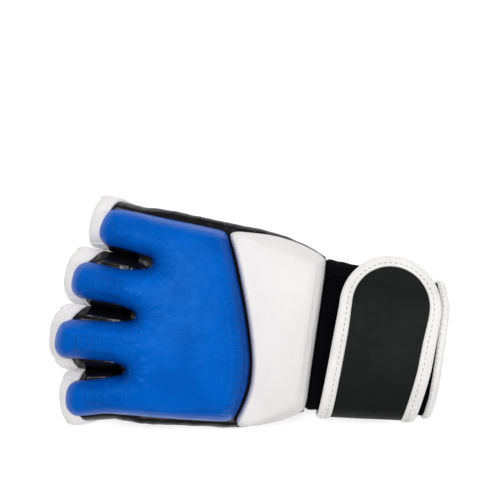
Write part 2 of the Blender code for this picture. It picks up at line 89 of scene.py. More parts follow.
# root y, fan angle, half width at the root and the mouth, length on top, how much shorter below
FINGERS = {
    "index": (-50.2, -13.0, 14.0, 13.6, 26.5, 11.0),
    "middle": (-19.3, -1.5, 15.0, 15.8, 39.0, 17.0),
    "ring": (12.6, 5.0, 14.6, 14.5, 34.5, 15.0),
    "pinky": (44.3, 7.0, 14.2, 13.8, 24.5, 9.0),
}
MOUTH_PULL = 0.5  # the tape pulls each sleeve's mouth this far back from the frame's
BLEND = {"index": 12.0, "middle": 16.0, "ring": 15.0, "pinky": 11.0}  # length that bends at the knuckle line

# centre x, centre y (or along the skin from the bottom), half length, half width, outside the tape
OPENINGS = {"palm": (-20.0, 17.0, 34.0, 25.5), "thumb": (-10.0, 43.0, 33.0, 24.0)}
TAPE_WIDE = 7.6
LEATHER = 1.4

WRIST_HALF_HEIGHT = 17.4
WRIST_MIDDLE_Z = WRIST_HALF_HEIGHT + 2.25
WRIST_FLAT_Z = 2.95
CUFF_WALL = 2.2
STRAP_LIFT = 2.6
GAP = 0.35
PEEL_Y = -2.0
X_STRAP = 75.0
ANCHOR_END = 336.0  # degrees round the wrist where the sewn-down stretch of the strap ends

CUFF_BOX = [np.array(corner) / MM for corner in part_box("wrist_cuff")]
SHIFT = np.array([CUFF_BOX[0][0] - X_HAND_END - 0.4, (CUFF_BOX[0][1] + CUFF_BOX[1][1]) / 2, 0.0])


# ---- small helpers --------------------------------------------------------------------------------------
def smooth(low, high, value):
    """0 below low, 1 above high, and an S curve between them."""
    share = np.clip((value - low) / (high - low), 0.0, 1.0)
    return share * share * (3 - 2 * share)


def power(value, exponent):
    return np.sign(value) * np.abs(value) ** exponent


def cos_sin(degrees):
    return np.cos(np.radians(degrees)), np.sin(np.radians(degrees))


def full_turn(count):
    """Degrees all the way round."""
    return np.linspace(0, 360, count, endpoint=False)


def place(points):
    """Drawing-frame millimetres to row-frame metres."""
    return (np.asarray(points, float) + SHIFT) * MM


def rough(points, scale, seed=0.0):
    """Smooth noise from about -1 to 1 at each point; scale is the size of its bumps."""
    points = np.asarray(points, float)
    spots = points.reshape(-1, 3) / scale + seed
    return np.array([noise.noise(Vector(spot)) for spot in spots]).reshape(points.shape[:-1])


def travelled(path):
    """Distance along a path at each of its points."""
    return np.concatenate([[0], np.cumsum(np.linalg.norm(np.diff(path, axis=0), axis=1))])


def spline(points, closed, spacing):
    """Evenly spaced points on a smooth curve through the given ones."""
    points = np.asarray(points, float)
    ends = [points[-1], points[0], points[1]] if closed else [points[0], points[-1], points[-1]]
    padded = np.vstack([ends[0], points, ends[1], ends[2]])
    dense = []
    for i in range(1, len(padded) - 2):
        before, start, end, after = padded[i - 1 : i + 3]
        for t in np.linspace(0, 1, 24, endpoint=False):
            dense.append(0.5 * (
                2 * start + (end - before) * t + (2 * before - 5 * start + 4 * end - after) * t**2
                + (3 * start - before - 3 * end + after) * t**3
            ))
    if not closed:
        dense.append(points[-1])
    return resample(np.array(dense), closed, spacing)


def resample(line, closed, spacing):
    if closed:
        line = np.vstack([line, line[:1]])
    length = travelled(line)
    count = max(8, int(round(length[-1] / spacing)))
    at = np.linspace(0, length[-1], count + 1)
    if closed:
        at = at[:-1]
    return np.column_stack([np.interp(at, length, line[:, k]) for k in range(line.shape[1])])


def unit(vectors):
    return vectors / np.maximum(np.linalg.norm(vectors, axis=-1, keepdims=True), 1e-9)


def tangents(path, closed):
    if closed:
        return unit(np.roll(path, -1, axis=0) - np.roll(path, 1, axis=0))
    return unit(np.gradient(path, axis=0))


def grid_normals(grid, wrap_columns=False):
    along = np.gradient(grid, axis=0)
    if wrap_columns:
        return unit(np.cross(along, np.roll(grid, -1, axis=1) - np.roll(grid, 1, axis=1)))
    return unit(np.cross(along, np.gradient(grid, axis=1)))


def make_mesh(name, points, faces, material, normals=None, away_from=None):
    """A smooth-shaded mesh from drawing-frame points. A closed one is turned to face out, and a sheet to
    face away from a point. Normals are given where a sheet is cut up, so that no cut shows."""
    points = np.asarray(points, float)
    triangles = np.array([(face[0], *pair) for face in faces for pair in zip(face[1:], face[2:])])
    a, b, c = (points[triangles[:, k]] - (0 if away_from is None else np.array(away_from)) for k in range(3))
    if np.einsum("ij,ij->", a, np.cross(b, c)) < 0:
        faces = [tuple(reversed(face)) for face in faces]
    mesh = bpy.data.meshes.new(name)
    mesh.from_pydata([tuple(point) for point in place(points)], [], [tuple(face) for face in faces])
    mesh.validate()
    mesh.shade_smooth()
    mesh.materials.append(material)
    if normals is not None:
        mesh.normals_split_custom_set_from_vertices([tuple(normal) for normal in normals])
    made = bpy.data.objects.new(name, mesh)
    bpy.context.scene.collection.objects.link(made)
    return made


def grid_faces(rows, columns, wrap_rows=False, wrap_columns=False, keep=None):
    faces = []
    for i in range(rows if wrap_rows else rows - 1):
        for j in range(columns if wrap_columns else columns - 1):
            if keep is None or keep[i, j]:
                low, high = i * columns, (i + 1) % rows * columns
                after = (j + 1) % columns
                faces.append((low + j, low + after, high + after, high + j))
    return faces


def outward_normals(grid, centre, wrap_columns=False):
    normals = grid_normals(grid, wrap_columns)
    return normals if np.sum(normals * (grid - centre)) > 0 else -normals


def make_shell(name, grid, normals, thickness, material, wrap_columns=False, keep=None):
    """A closed sheet: its inner face lies thickness below its outer one, with rims between."""
    rows, columns = grid.shape[:2]
    inner = grid - normals * thickness
    count = rows * columns
    outer_faces = grid_faces(rows, columns, False, wrap_columns, keep)
    faces = outer_faces + [tuple(count + k for k in reversed(face)) for face in outer_faces]
    ends = {}
    for face in outer_faces:
        for a, b in zip(face, face[1:] + face[:1]):
            ends[(a, b)] = ends.get((a, b), 0) + 1
    faces += [(b, a, a + count, b + count) for a, b in ends if (b, a) not in ends]
    points = np.concatenate([grid.reshape(-1, 3), inner.reshape(-1, 3)])
    shading = np.concatenate([normals.reshape(-1, 3), -normals.reshape(-1, 3)])
    used = sorted({k for face in faces for k in face})
    index = {k: i for i, k in enumerate(used)}
    faces = [tuple(index[k] for k in face) for face in faces]
    return make_mesh(name, points[used], faces, material, normals=shading[used])


def sweep(name, lines, material, closed):
    """A closed solid whose section runs through lines, each a path of as many points.

    An open one has flat ends, and its sides are shaded as if it went on past them."""
    grid = np.stack(lines, axis=1)
    rows, columns = grid.shape[:2]
    faces = grid_faces(rows, columns, closed, True)
    if closed:
        return make_mesh(name, grid.reshape(-1, 3), faces, material)
    centres = grid.mean(axis=1)
    normals = outward_normals(grid, centres[:, None, :], wrap_columns=True)
    ends = unit(np.array([centres[0] - centres[1], centres[-1] - centres[-2]]))
    points = np.concatenate([grid.reshape(-1, 3), grid[0], grid[-1], centres[:1], centres[-1:]])
    shading = np.concatenate([normals.reshape(-1, 3), np.repeat(ends, columns, axis=0), ends])
    first, second = rows * columns, (rows + 1) * columns
    for j in range(columns):
        after = (j + 1) % columns
        faces.append((first + after, first + j, second + columns))
        faces.append((second + j, second + after, second + columns + 1))
    return make_mesh(name, points, faces, material, normals=shading)


def stitch_line(line_at, height, closed=True):
    """A path for make_stitches, where line_at gives the tape's line at a height."""
    path = line_at(height)
    return path, unit(line_at(height + 1.0) - path), closed


def make_stitches(name, paths, radius, length, gap, material):
    """Dashes of thread along paths: each path is (points, outward normals, whether it is closed)."""
    points, faces = [], []
    sides = 6
    section = np.transpose(cos_sin(full_turn(sides)))
    # along each dash, as shares of its length, and its thickness there
    rings = ((-0.5, 0.35), (-0.34, 0.85), (0.0, 1.0), (0.34, 0.85), (0.5, 0.35))
    for path, normals, closed in paths:
        if closed:
            path, normals = np.vstack([path, path[:1]]), np.vstack([normals, normals[:1]])
        travel = travelled(path)
        count = int(travel[-1] // (length + gap))
        for k in range(count):
            at = (k + 0.5) * travel[-1] / count + length * np.array([share for share, _ in rings])
            centre = np.column_stack([np.interp(at, travel, path[:, i]) for i in range(3)])
            up = unit(np.array([np.interp(at[2], travel, normals[:, i]) for i in range(3)]))
            along = unit(centre[-1] - centre[0])
            side = np.cross(up, along)
            first = len(points)
            for spot, (_, thick) in zip(centre, rings):
                spot = spot + up * radius * (0.75 * thick - 0.55)
                points += [spot + (side * u + up * v * 0.8) * radius * thick for u, v in section]
            around = grid_faces(len(rings), sides, wrap_columns=True)
            faces += [tuple(first + k for k in face) for face in around]
            faces.append(tuple(range(first + sides - 1, first - 1, -1)))
            faces.append(tuple(range(len(points) - sides, len(points))))
    return make_mesh(name, points, faces, material)


# ---- materials ------------------------------------------------------------------------------------------
def start_material(name, **settings):
    made = bpy.data.materials.new(name)
    made.use_nodes = True
    shader = made.node_tree.nodes["Principled BSDF"]
    for socket, value in settings.items():
        shader.inputs[socket.replace("_", " ")].default_value = value
    return made, made.node_tree, shader


def node(tree, kind, links=(), **settings):
    """Adds a node; settings name its properties or sockets, and links are (socket, output) pairs."""
    made = tree.nodes.new(kind)
    for key, value in settings.items():
        if hasattr(made, key):
            setattr(made, key, value)
        else:
            made.inputs[key.replace("_", " ")].default_value = value
    for socket, output in links:
        tree.links.new(output, made.inputs[socket])
    return made


def speckle(tree, where, scale, detail, **settings):
    texture = node(tree, "ShaderNodeTexNoise", [("Vector", where)], Scale=scale, Detail=detail, **settings)
    return texture.outputs["Fac"]


def cells(tree, where, scale, **settings):
    texture = node(tree, "ShaderNodeTexVoronoi", [("Vector", where)], Scale=scale, **settings)
    return texture.outputs["Distance"]


def bump_chain(tree, shader, layers):
    """Bump from several height outputs, each (output, strength, distance)."""
    normal = None
    for output, strength, distance in layers:
        links = [("Height", output)] + ([("Normal", normal)] if normal else [])
        made = node(tree, "ShaderNodeBump", links, Strength=strength, Distance=distance)
        normal = made.outputs["Normal"]
    tree.links.new(normal, shader.inputs["Normal"])


def mixed_colour(tree, shader, dark, light, output, low=0.35, high=0.65):
    ramp = node(tree, "ShaderNodeValToRGB", [("Fac", output)])
    for element, at, colour in zip(ramp.color_ramp.elements, (low, high), (dark, light)):
        element.position, element.color = at, (*colour, 1)
    tree.links.new(ramp.outputs["Color"], shader.inputs["Base Color"])


def vary_roughness(tree, shader, output, low, high):
    ramp = node(
        tree, "ShaderNodeMapRange", [("Value", output)], From_Min=0.3, From_Max=0.7, To_Min=low, To_Max=high
    )
    tree.links.new(ramp.outputs["Result"], shader.inputs["Roughness"])


def masked_streaks(tree, vector, scale, mask):
    """Height of streaks along vector's slow direction, where the mesh's mask attribute is set."""
    streaks = speckle(tree, vector, scale, 2.0)
    limit = node(tree, "ShaderNodeAttribute", attribute_name=mask).outputs["Fac"]
    return node(tree, "ShaderNodeMath", [(0, streaks), (1, limit)], operation="MULTIPLY").outputs["Value"]


def stretched(tree, where, scale):
    return node(tree, "ShaderNodeMapping", [("Vector", where)], Scale=scale).outputs["Vector"]


def leather(name, dark, light, roughness, grain, crease, gathered=False, **settings):
    """Grained leather: cells about a millimetre across, fine pores, soft creases and uneven dye.

    Gathered leather has fine pulled creases too, where its mesh's attributes say."""
    made, tree, shader = start_material(name, **settings)
    where = node(tree, "ShaderNodeTexCoord").outputs["Object"]
    folds = speckle(tree, where, 170.0, 5.0, Distortion=0.6)
    mixed_colour(tree, shader, dark, light, speckle(tree, where, 38.0, 4.0))
    vary_roughness(tree, shader, folds, roughness - 0.06, roughness + 0.07)
    layers = [
        (folds, crease, 0.0012),
        (cells(tree, where, 1150.0, feature="SMOOTH_F1"), grain, 0.0004),
        (speckle(tree, where, 3200.0, 2.0), grain * 0.6, 0.0002),
    ]
    if gathered:
        fan = node(tree, "ShaderNodeAttribute", attribute_name="fan").outputs["Vector"]
        layers += [
            (masked_streaks(tree, stretched(tree, where, (1.0, 0.13, 0.13)), 720.0, "gathers"), 1.0, 0.0019),
            (masked_streaks(tree, stretched(tree, where, (0.12, 1.0, 0.12)), 640.0, "ticks"), 1.0, 0.0019),
            (masked_streaks(tree, fan, 1.0, "fan_mask"), 1.0, 0.0018),
        ]
    bump_chain(tree, shader, layers)
    return made


def cloth(name, dark, light, scale, roughness, **settings):
    """Fuzzy or looped cloth: noise at the size of its loops, over a slower unevenness."""
    made, tree, shader = start_material(name, Roughness=roughness, **settings)
    where = node(tree, "ShaderNodeTexCoord").outputs["Object"]
    fuzz = speckle(tree, where, scale * 1.7, 3.0)
    mixed_colour(tree, shader, dark, light, fuzz)
    bump_chain(tree, shader, [(cells(tree, where, scale, feature="F1"), 0.8, 0.0007), (fuzz, 0.7, 0.0005)])
    return made


def mesh_cloth(name, dark, light, pitch):
    """Knitted mesh: rows of small round holes, pitch metres apart."""
    made, tree, shader = start_material(name, Roughness=0.85, Sheen_Weight=0.25)
    where = node(tree, "ShaderNodeTexCoord").outputs["Object"]
    holes = cells(tree, where, 1 / pitch, Randomness=0.0, voronoi_dimensions="2D")
    mixed_colour(tree, shader, dark, light, holes, 0.22, 0.4)
    bump_chain(tree, shader, [(holes, 0.7, 0.0009), (speckle(tree, where, 4200.0, 2.0), 0.4, 0.0003)])
    return made


BLUE = leather(
    "blue_leather", (0.0, 0.088, 0.455), (0.0002, 0.112, 0.545), 0.34, 0.10, 0.28, gathered=True,
    IOR=1.3, Specular_IOR_Level=0.38, Specular_Tint=(0.12, 0.5, 1.0, 1.0),
)
WHITE = leather("white_leather", (0.775, 0.744, 0.748), (0.812, 0.782, 0.786), 0.5, 0.08, 0.2)
BLACK = leather(
    "black_leather", (0.0018, 0.0018, 0.0028), (0.004, 0.004, 0.006), 0.2, 0.05, 0.32,
    Specular_IOR_Level=0.45,
)
SEAM_BLACK = leather(
    "seam_leather", (0.001, 0.001, 0.002), (0.003, 0.003, 0.004), 0.65, 0.05, 0.1, Specular_IOR_Level=0.08,
)
STRAP_BLACK = leather(
    "strap_leather", (0.007, 0.008, 0.0075), (0.011, 0.0125, 0.0118), 0.55, 0.10, 0.12,
    Specular_IOR_Level=0.09,
)
TAPE = leather("white_tape", (0.79, 0.765, 0.755), (0.89, 0.865, 0.86), 0.5, 0.16, 0.4)
NAVY = mesh_cloth("navy_mesh", (0.0015, 0.0016, 0.004), (0.008, 0.009, 0.022), 0.0016)
PILE = cloth(
    "black_pile", (0.0004, 0.0004, 0.0008), (0.002, 0.0022, 0.0034), 2300.0, 0.95, Sheen_Weight=0.01,
    Specular_IOR_Level=0.04,
)
HOOKS = cloth("black_hooks", (0.003, 0.003, 0.003), (0.03, 0.03, 0.032), 1300.0, 0.5)
THREAD = leather("white_thread", (0.58, 0.57, 0.56), (0.74, 0.73, 0.71), 0.6, 0.3, 0.2)
GREY_THREAD = leather("grey_thread", (0.34, 0.34, 0.34), (0.5, 0.5, 0.49), 0.6, 0.3, 0.2)


def finish_piece(made, replaces=(), blend=None):
    """Hides the parts that a piece stands in for, and sets how it moves: between two bodies, or with the
    glove's.
    """
    if replaces:
        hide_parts(*replaces)
    if blend:
        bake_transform(made, *blend)
    else:
        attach(made, "glove_body")


# ---- the hand's skin and the fingers ---------------------------------------------------------------------
def station(x, column):
    """Smooth value of one column of HAND_STATIONS at x, held level past both ends."""
    table = HAND_STATIONS
    x = np.clip(np.asarray(x, float), table[0, 0], table[-1, 0])
    i = np.clip(np.searchsorted(table[:, 0], x) - 1, 0, len(table) - 2)
    before, after = np.maximum(i - 1, 0), np.minimum(i + 2, len(table) - 1)
    span = table[i + 1, 0] - table[i, 0]
    t = (x - table[i, 0]) / span
    low, high = table[i, column], table[i + 1, column]
    slope_in = span * (high - table[before, column]) / (table[i + 1, 0] - table[before, 0])
    slope_out = span * (table[after, column] - low) / (table[after, 0] - table[i, 0])
    return (
        (2 * t**3 - 3 * t**2 + 1) * low + (t**3 - 2 * t**2 + t) * slope_in
        + (3 * t**2 - 2 * t**3) * high + (t**3 - t**2) * slope_out
    )


def hand_point(x, degrees, offset=0.0):
    """Point on the hand's outer skin: 0 degrees is the little-finger side and 90 the back of the hand."""
    thumb, little, bottom, middle, top = (station(x, column) for column in range(1, 6))
    cosine, sine = cos_sin(degrees)
    half_height = np.where(sine > 0, top - middle, middle - bottom) + offset
    exponent = np.where(sine > 0, 2 / HAND_TOP_SQUARE, 2 / HAND_BOTTOM_SQUARE)
    y = (thumb + little) / 2 + ((little - thumb) / 2 + offset) * power(cosine, exponent)
    return np.stack(np.broadcast_arrays(x, y, middle + half_height * power(sine, exponent)), axis=-1)


def hand_top(x, y):
    """Height of the skin on the back of the hand."""
    thumb, little, middle, top = station(x, 1), station(x, 2), station(x, 4), station(x, 5)
    reach = np.clip(np.abs(y - (thumb + little) / 2) / ((little - thumb) / 2), 0, 0.995)
    return middle + (top - middle) * (1 - reach**HAND_TOP_SQUARE) ** (1 / HAND_TOP_SQUARE)


def finger_root(finger):
    root_y, fan, root_half = FINGERS[finger][:3]
    return np.array([X_FLEX - root_half * abs(math.sin(math.radians(fan))), root_y])


def finger_direction(finger):
    fan = math.radians(FINGERS[finger][1])
    return np.array([-math.cos(fan), math.sin(fan)])


def finger_place(finger, along, across, up):
    """Drawing-frame point from distance along the curled finger, across it and above its centre line."""
    root, forward = finger_root(finger), finger_direction(finger)
    side = np.array([forward[1], -forward[0]])
    turn = np.asarray(along, float) / FINGER_CURVE
    ahead = (FINGER_CURVE + up) * np.sin(turn)
    z = Z_FLEX - FINGER_CURVE + (FINGER_CURVE + up) * np.cos(turn)
    x = root[0] + forward[0] * ahead + side[0] * across
    y = root[1] + forward[1] * ahead + side[1] * across
    return np.stack(np.broadcast_arrays(x, y, z), axis=-1)


def finger_plan(finger, x, y):
    """How far plan points are ahead of the finger's bend line, and across from the finger's middle."""
    root, forward = finger_root(finger), finger_direction(finger)
    x, y = x - root[0], y - root[1]
    return x * forward[0] + y * forward[1], x * forward[1] - y * forward[0]


def finger_top(finger, x, y):
    """Height of the finger sleeve's top under (x, y)."""
    ahead, across = finger_plan(finger, x, y)
    reach = np.clip(np.abs(across) / FINGERS[finger][2], 0, 0.98)
    up = FINGER_HALF_HEIGHT * (1 - reach**FINGER_SQUARE) ** (1 / FINGER_SQUARE)
    turn = np.arcsin(np.clip(ahead / (FINGER_CURVE + up), -0.6, 0.6))
    return Z_FLEX - FINGER_CURVE + (FINGER_CURVE + up) * np.cos(turn)


# Slits between the finger lobes: the end of each, and how its middle line drifts towards the fingertips.
SLIT_ENDS = {
    "ring_pinky": (-60.6, 27.6, -0.03),
    "middle_ring": (-66.0, -3.4, 0.026),
    "index_middle": (-67.4, -34.9, 0.143),
}


def slit_y(slit, x):
    end_x, end_y, drift = SLIT_ENDS[slit]
    return end_y + drift * (x - end_x)


def finger_at(x, y):
    """Which finger each point belongs to, counted from the index finger."""
    return sum((y > slit_y(slit, x)).astype(int) for slit in SLIT_ENDS)


def skin_top(x, y):
    """Height of the skin under the pads, from the back of the hand out over the finger sleeves."""
    on_finger = np.zeros_like(x)
    which = finger_at(x, y)
    for i, finger in enumerate(FINGERS):
        on_finger = np.where(which == i, finger_top(finger, x, y), on_finger)
    share = smooth(-58.0, -72.0, x)
    return hand_top(x, y) * (1 - share) + on_finger * share


# ---- pads -----------------------------------------------------------------------------------------------
# The blue pad's edge in plan, anticlockwise from the little-finger side of the seam.
LOBE_TIPS = {
    "pinky": [(-84.0, 54.9), (-89.0, 51.6), (-91.7, 44.5), (-91.5, 38.2), (-87.0, 33.9)],
    "ring": [(-98.0, 22.4), (-102.4, 18.2), (-103.8, 11.5), (-102.7, 5.4), (-98.0, 2.2)],
    "middle": [(-101.5, -11.0), (-106.6, -14.4), (-108.6, -21.5), (-107.8, -28.6), (-103.0, -33.0)],
    "index": [(-93.0, -44.6), (-96.8, -48.0), (-97.7, -54.5), (-96.0, -60.6), (-91.0, -64.2)],
}
SLIT_EDGES = {
    "ring_pinky": [(-79.0, 33.4), (-70.0, 32.0), (-63.5, 30.6), (-60.6, 27.6), (-63.6, 24.2), (-71.0, 22.3),
                   (-82.0, 22.0), (-91.0, 22.9)],
    "middle_ring": [(-88.0, 1.9), (-76.0, 1.6), (-69.4, -0.4), (-66.0, -3.4), (-69.2, -6.6), (-76.0, -8.0),
                    (-86.0, -9.2), (-95.0, -10.0)],
    "index_middle": [(-94.0, -32.3), (-84.0, -31.3), (-75.0, -31.0), (-70.4, -32.0), (-67.4, -34.9),
                     (-70.4, -38.0), (-77.0, -40.6), (-86.0, -43.0)],
}
BLUE_EDGE = (
    [(-24.0, 51.4), (-31.0, 52.2), (-50.7, 53.4), (-70.0, 54.6)]
    + LOBE_TIPS["pinky"] + SLIT_EDGES["ring_pinky"] + LOBE_TIPS["ring"] + SLIT_EDGES["middle_ring"]
    + LOBE_TIPS["middle"] + SLIT_EDGES["index_middle"] + LOBE_TIPS["index"]
    + [(-84.0, -63.0), (-73.5, -60.3), (-63.0, -59.8), (-42.5, -58.9), (-22.0, -57.6), (-7.0, -56.2),
       (-2.2, -53.8), (0.6, -48.0), (3.0, -38.0), (3.6, -29.0), (2.3, -16.0), (-3.8, 6.8), (-11.6, 29.0),
       (-16.6, 42.0), (-20.2, 49.6)]
)
WHITE_EDGE = [
    (-18.4, 48.2), (-14.8, 40.4), (-10.5, 29.4), (-2.8, 6.9), (3.0, -14.6), (4.7, -28.5), (4.0, -38.5),
    (1.8, -48.0), (0.4, -52.4), (0.5, -55.8), (4.0, -57.2), (18.7, -54.0), (29.0, -49.6), (35.8, -44.8),
    (38.0, -39.0), (37.9, -20.0), (37.9, 20.0), (37.8, 38.0), (36.2, 44.4), (25.6, 49.2), (14.4, 51.8),
    (3.5, 52.9), (-7.3, 52.6), (-13.8, 52.2), (-17.8, 50.9),
]
# The seam between the two pads, from the thumb side.
SEAM_LINE = [
    (-0.7, -54.6), (1.4, -48.2), (3.6, -38.4), (4.2, -28.8), (2.8, -15.3), (-3.2, 6.9), (-11.0, 29.2),
    (-15.7, 41.3), (-19.2, 49.6),
]
LOBE_MIDDLES = {"index": -2.0, "middle": 2.0, "ring": 2.4, "pinky": 2.0}  # off the finger's own middle
KNUCKLE_TOP = 54.6
BACKHAND_TOP = 46.4
X_LOBES = -62.0  # the knuckle pad's top is highest here and curls down over the lobes
WHITE_WELT_START = 11.0  # past here the backhand pad's edge has a sewn welt
RING_INSETS = (0.0, 0.06, 0.22, 0.5, 0.9, 1.5, 2.3, 3.2, 4.2)  # rings of points along a pad's rolled rim


def seam_x(y):
    """Where the seam between the pads crosses y."""
    x, at = np.transpose(SEAM_LINE)
    return np.interp(y, at, x)


def plan_distance(points, outline):
    """Distance of each plan point to the closed outline."""
    nearest = np.full(len(points), np.inf)
    for start, side in zip(outline, np.roll(outline, -1, axis=0) - outline):
        share = np.clip(((points - start) @ side) / (side @ side), 0, 1)
        nearest = np.minimum(nearest, np.linalg.norm(points - start - share[:, None] * side, axis=1))
    return nearest


def plan_inside(points, outline):
    """Whether each plan point is inside the closed outline, by counting crossings."""
    inside = np.zeros(len(points), bool)
    x, y = points[:, 0], points[:, 1]
    for (x0, y0), (x1, y1) in zip(outline, np.roll(outline, -1, axis=0)):
        if y0 != y1:
            inside ^= ((y0 > y) != (y1 > y)) & (x < x0 + (y - y0) * (x1 - x0) / (y1 - y0))
    return inside


def plan_mesh(outline, spacing):
    """Plan points and faces of a sheet: rings close together along its rolled rim, then an even fill."""
    rings = [outline]
    for step in np.diff(RING_INSETS):
        forward = tangents(rings[-1], True)
        line = rings[-1] + np.column_stack([-forward[:, 1], forward[:, 0]]) * step
        ease = min(0.5, step * 0.35)
        line = line * (1 - ease) + (np.roll(line, 1, axis=0) + np.roll(line, -1, axis=0)) * ease / 2
        rings.append(line)
    count = len(outline)
    points = np.concatenate(rings)
    faces = grid_faces(len(rings), count, wrap_columns=True)
    last = resample(rings[-1], True, spacing * 0.8)
    low, high = last.min(axis=0), last.max(axis=0)
    rows = np.arange(low[1], high[1], spacing * 0.866)
    columns = np.arange(low[0], high[0], spacing)
    fill = np.array([(x + (k % 2) * spacing / 2, y) for k, y in enumerate(rows) for x in columns])
    fill = fill[plan_inside(fill, rings[-1])]
    fill = fill[plan_distance(fill, rings[-1]) > spacing * 0.55]
    edges = [(k, (k + 1) % count) for k in range(count)]
    found, _, triangles, origins, _, _ = geometry.delaunay_2d_cdt(
        [Vector(point) for point in np.concatenate([rings[-1], fill])], edges, [], 1, 1e-5
    )
    index, extra = [], []
    for spot, sources in zip(found, origins):
        if sources and sources[0] < count:
            index.append(len(points) - count + sources[0])
        else:
            index.append(len(points) + len(extra))
            extra.append(tuple(spot))
    faces += [tuple(index[corner] for corner in triangle) for triangle in triangles]
    return np.concatenate([points, np.array(extra)]), faces


def rolled(distance, radius, exponent=2.3):
    """0 at a pad's edge, rising steeply and then rolling over to 1 at radius from it."""
    return (1 - (1 - np.clip(distance / radius, 0, 1)) ** (exponent + 0.5)) ** (1 / exponent)


def oriented(points, faces):
    """Faces turned so that they all look up in plan."""
    turned = []
    for face in faces:
        a, b, c = (points[k] for k in face[:3])
        area = (b[0] - a[0]) * (c[1] - a[1]) - (b[1] - a[1]) * (c[0] - a[0])
        turned.append(tuple(face) if area > 0 else tuple(reversed(face)))
    return turned


def vertex_normals(points, faces):
    total = np.zeros_like(points)
    for face in faces:
        corners = points[list(face)]
        normal = np.cross(corners[1] - corners[0], corners[2] - corners[0])
        if len(face) == 4:
            normal = normal + np.cross(corners[2] - corners[0], corners[3] - corners[0])
        for k in face:
            total[k] += normal
    return unit(total)


def plan_pad(edge, edge_step, spacing):
    """A pad in plan: its points, its faces, and each point's distance to its edge."""
    outline = spline(edge, True, edge_step)
    plan, faces = plan_mesh(outline, spacing)
    distance = plan_distance(plan, outline)
    distance[: len(outline)] = 0
    return plan, oriented(plan, faces), distance


def make_knuckle_pad():
    plan, faces, distance = plan_pad(BLUE_EDGE, 0.95, 0.95)
    x, y = plan.T
    base = skin_top(x, y) - 1.2
    behind = np.minimum(0, X_LOBES - x)
    curl = np.maximum(0, X_LOBES - x) ** 2 / 250
    top = KNUCKLE_TOP + 0.055 * behind - curl - 0.0011 * (y + 3) ** 2
    bulge = 2.6 * (1 - np.exp(-distance / 11.0)) - 1.0
    radius = 9.8 + 4.0 * smooth(-34, -6, x)
    z = base + (top + bulge - base) * rolled(distance, radius)
    split_at_fingers("knuckle_pad", add_gathers(np.column_stack([plan, z]), distance, faces), faces)


def add_gathers(points, distance, faces):
    """Creases that fan out from the slits' ends, short gathers along the seam and slack on the lobes."""
    x, y, z = points.T
    lift = np.zeros(len(points))
    for slit, (end_x, end_y, _) in SLIT_ENDS.items():
        away = np.hypot(x - end_x, y - end_y)
        angle = np.arctan2(y - end_y, x - end_x)
        fan = np.sin(angle * 13 + 2.3 * rough(points, 9.0, 3.0)) * smooth(2.2, 0.9, np.abs(angle))
        lift += 0.15 * fan * smooth(2.0, 5.0, away) * smooth(24, 7, away)
        lift -= 1.5 * smooth(17, 2, away) * smooth(-6, 3, x - end_x)
    seam = smooth(13, 7, distance) * smooth(1.5, 4.0, distance)
    seam *= smooth(-26, -12, x + 0.38 * np.maximum(y, -10))
    lift += 0.13 * seam * np.sin(y * 2.6 + 2.0 * rough(points * [0.3, 1, 0.3], 6.0, 8.0))
    lobes = smooth(-66, -76, x) * smooth(4, 8, distance) * (0.4 + 0.6 * rough(points, 11.0, 21.0))
    lift += 0.14 * lobes * np.sin(x * 3.1 + 2.5 * rough(points * [1, 0.4, 1], 7.0, 5.0))
    inner = smooth(4, 12, distance)
    lift += inner * (0.45 * rough(points, 30.0, 1.0) + 0.16 * rough(points, 9.0, 2.0))
    return points + vertex_normals(points, faces) * lift[:, None]


def split_at_fingers(name, points, faces):
    """Cuts the pad's sheet at each finger's bend line into pieces that keep the whole sheet's normals."""
    normals = vertex_normals(points, faces)
    points, normals, faces = list(points), list(normals), [list(face) for face in faces]
    cut_edges = {}

    def ahead(k, finger):
        return finger_plan(finger, *points[k][:2])[0]

    def middle_on(a, b, finger):
        """The new point where edge (a, b) crosses the bend line, made once for its two faces."""
        key = (min(a, b), max(a, b), finger)
        if key not in cut_edges:
            share = ahead(a, finger) / (ahead(a, finger) - ahead(b, finger))
            cut_edges[key] = len(points)
            points.append(points[a] * (1 - share) + points[b] * share)
            normals.append(unit(normals[a] * (1 - share) + normals[b] * share))
        return cut_edges[key]

    fingers = list(FINGERS)
    groups = {key: [] for key in ["glove_body"] + fingers}
    for face in faces:
        centre = np.mean([points[k] for k in face], axis=0)
        finger = fingers[int(finger_at(*centre[:2]))]
        past = [ahead(k, finger) for k in face]
        if centre[0] > -58 or max(past) <= 1e-6:
            groups["glove_body"].append(face)
        elif min(past) >= -1e-6:
            groups[finger].append(face)
        else:
            near, far = [], []
            for k, after, here, there in zip(face, face[1:] + face[:1], past, past[1:] + past[:1]):
                (far if here > 0 else near).append(k)
                if (here > 0) != (there > 0):
                    new = middle_on(k, after, finger)
                    near.append(new)
                    far.append(new)
            groups["glove_body"].append(near)
            groups[finger].append(far)
    points, normals = np.array(points), np.array(normals)
    for key, members in groups.items():
        used = sorted({k for face in members for k in face})
        index = {k: i for i, k in enumerate(used)}
        members = [[index[k] for k in face] for face in members]
        piece = name if key == "glove_body" else f"{key}_lobe"
        below = points[used].mean(axis=0) * (1, 1, 0) + (0, 0, 15)
        made = make_mesh(piece, points[used], members, BLUE, normals[used], below)
        mark_creases(made, points[used])
        if key == "glove_body":
            finish_piece(made, ["knuckle_cover", "knuckle_foam"])
        else:
            finish_piece(made, [f"{key}_cover", f"{key}_foam"], finger_blend(key))


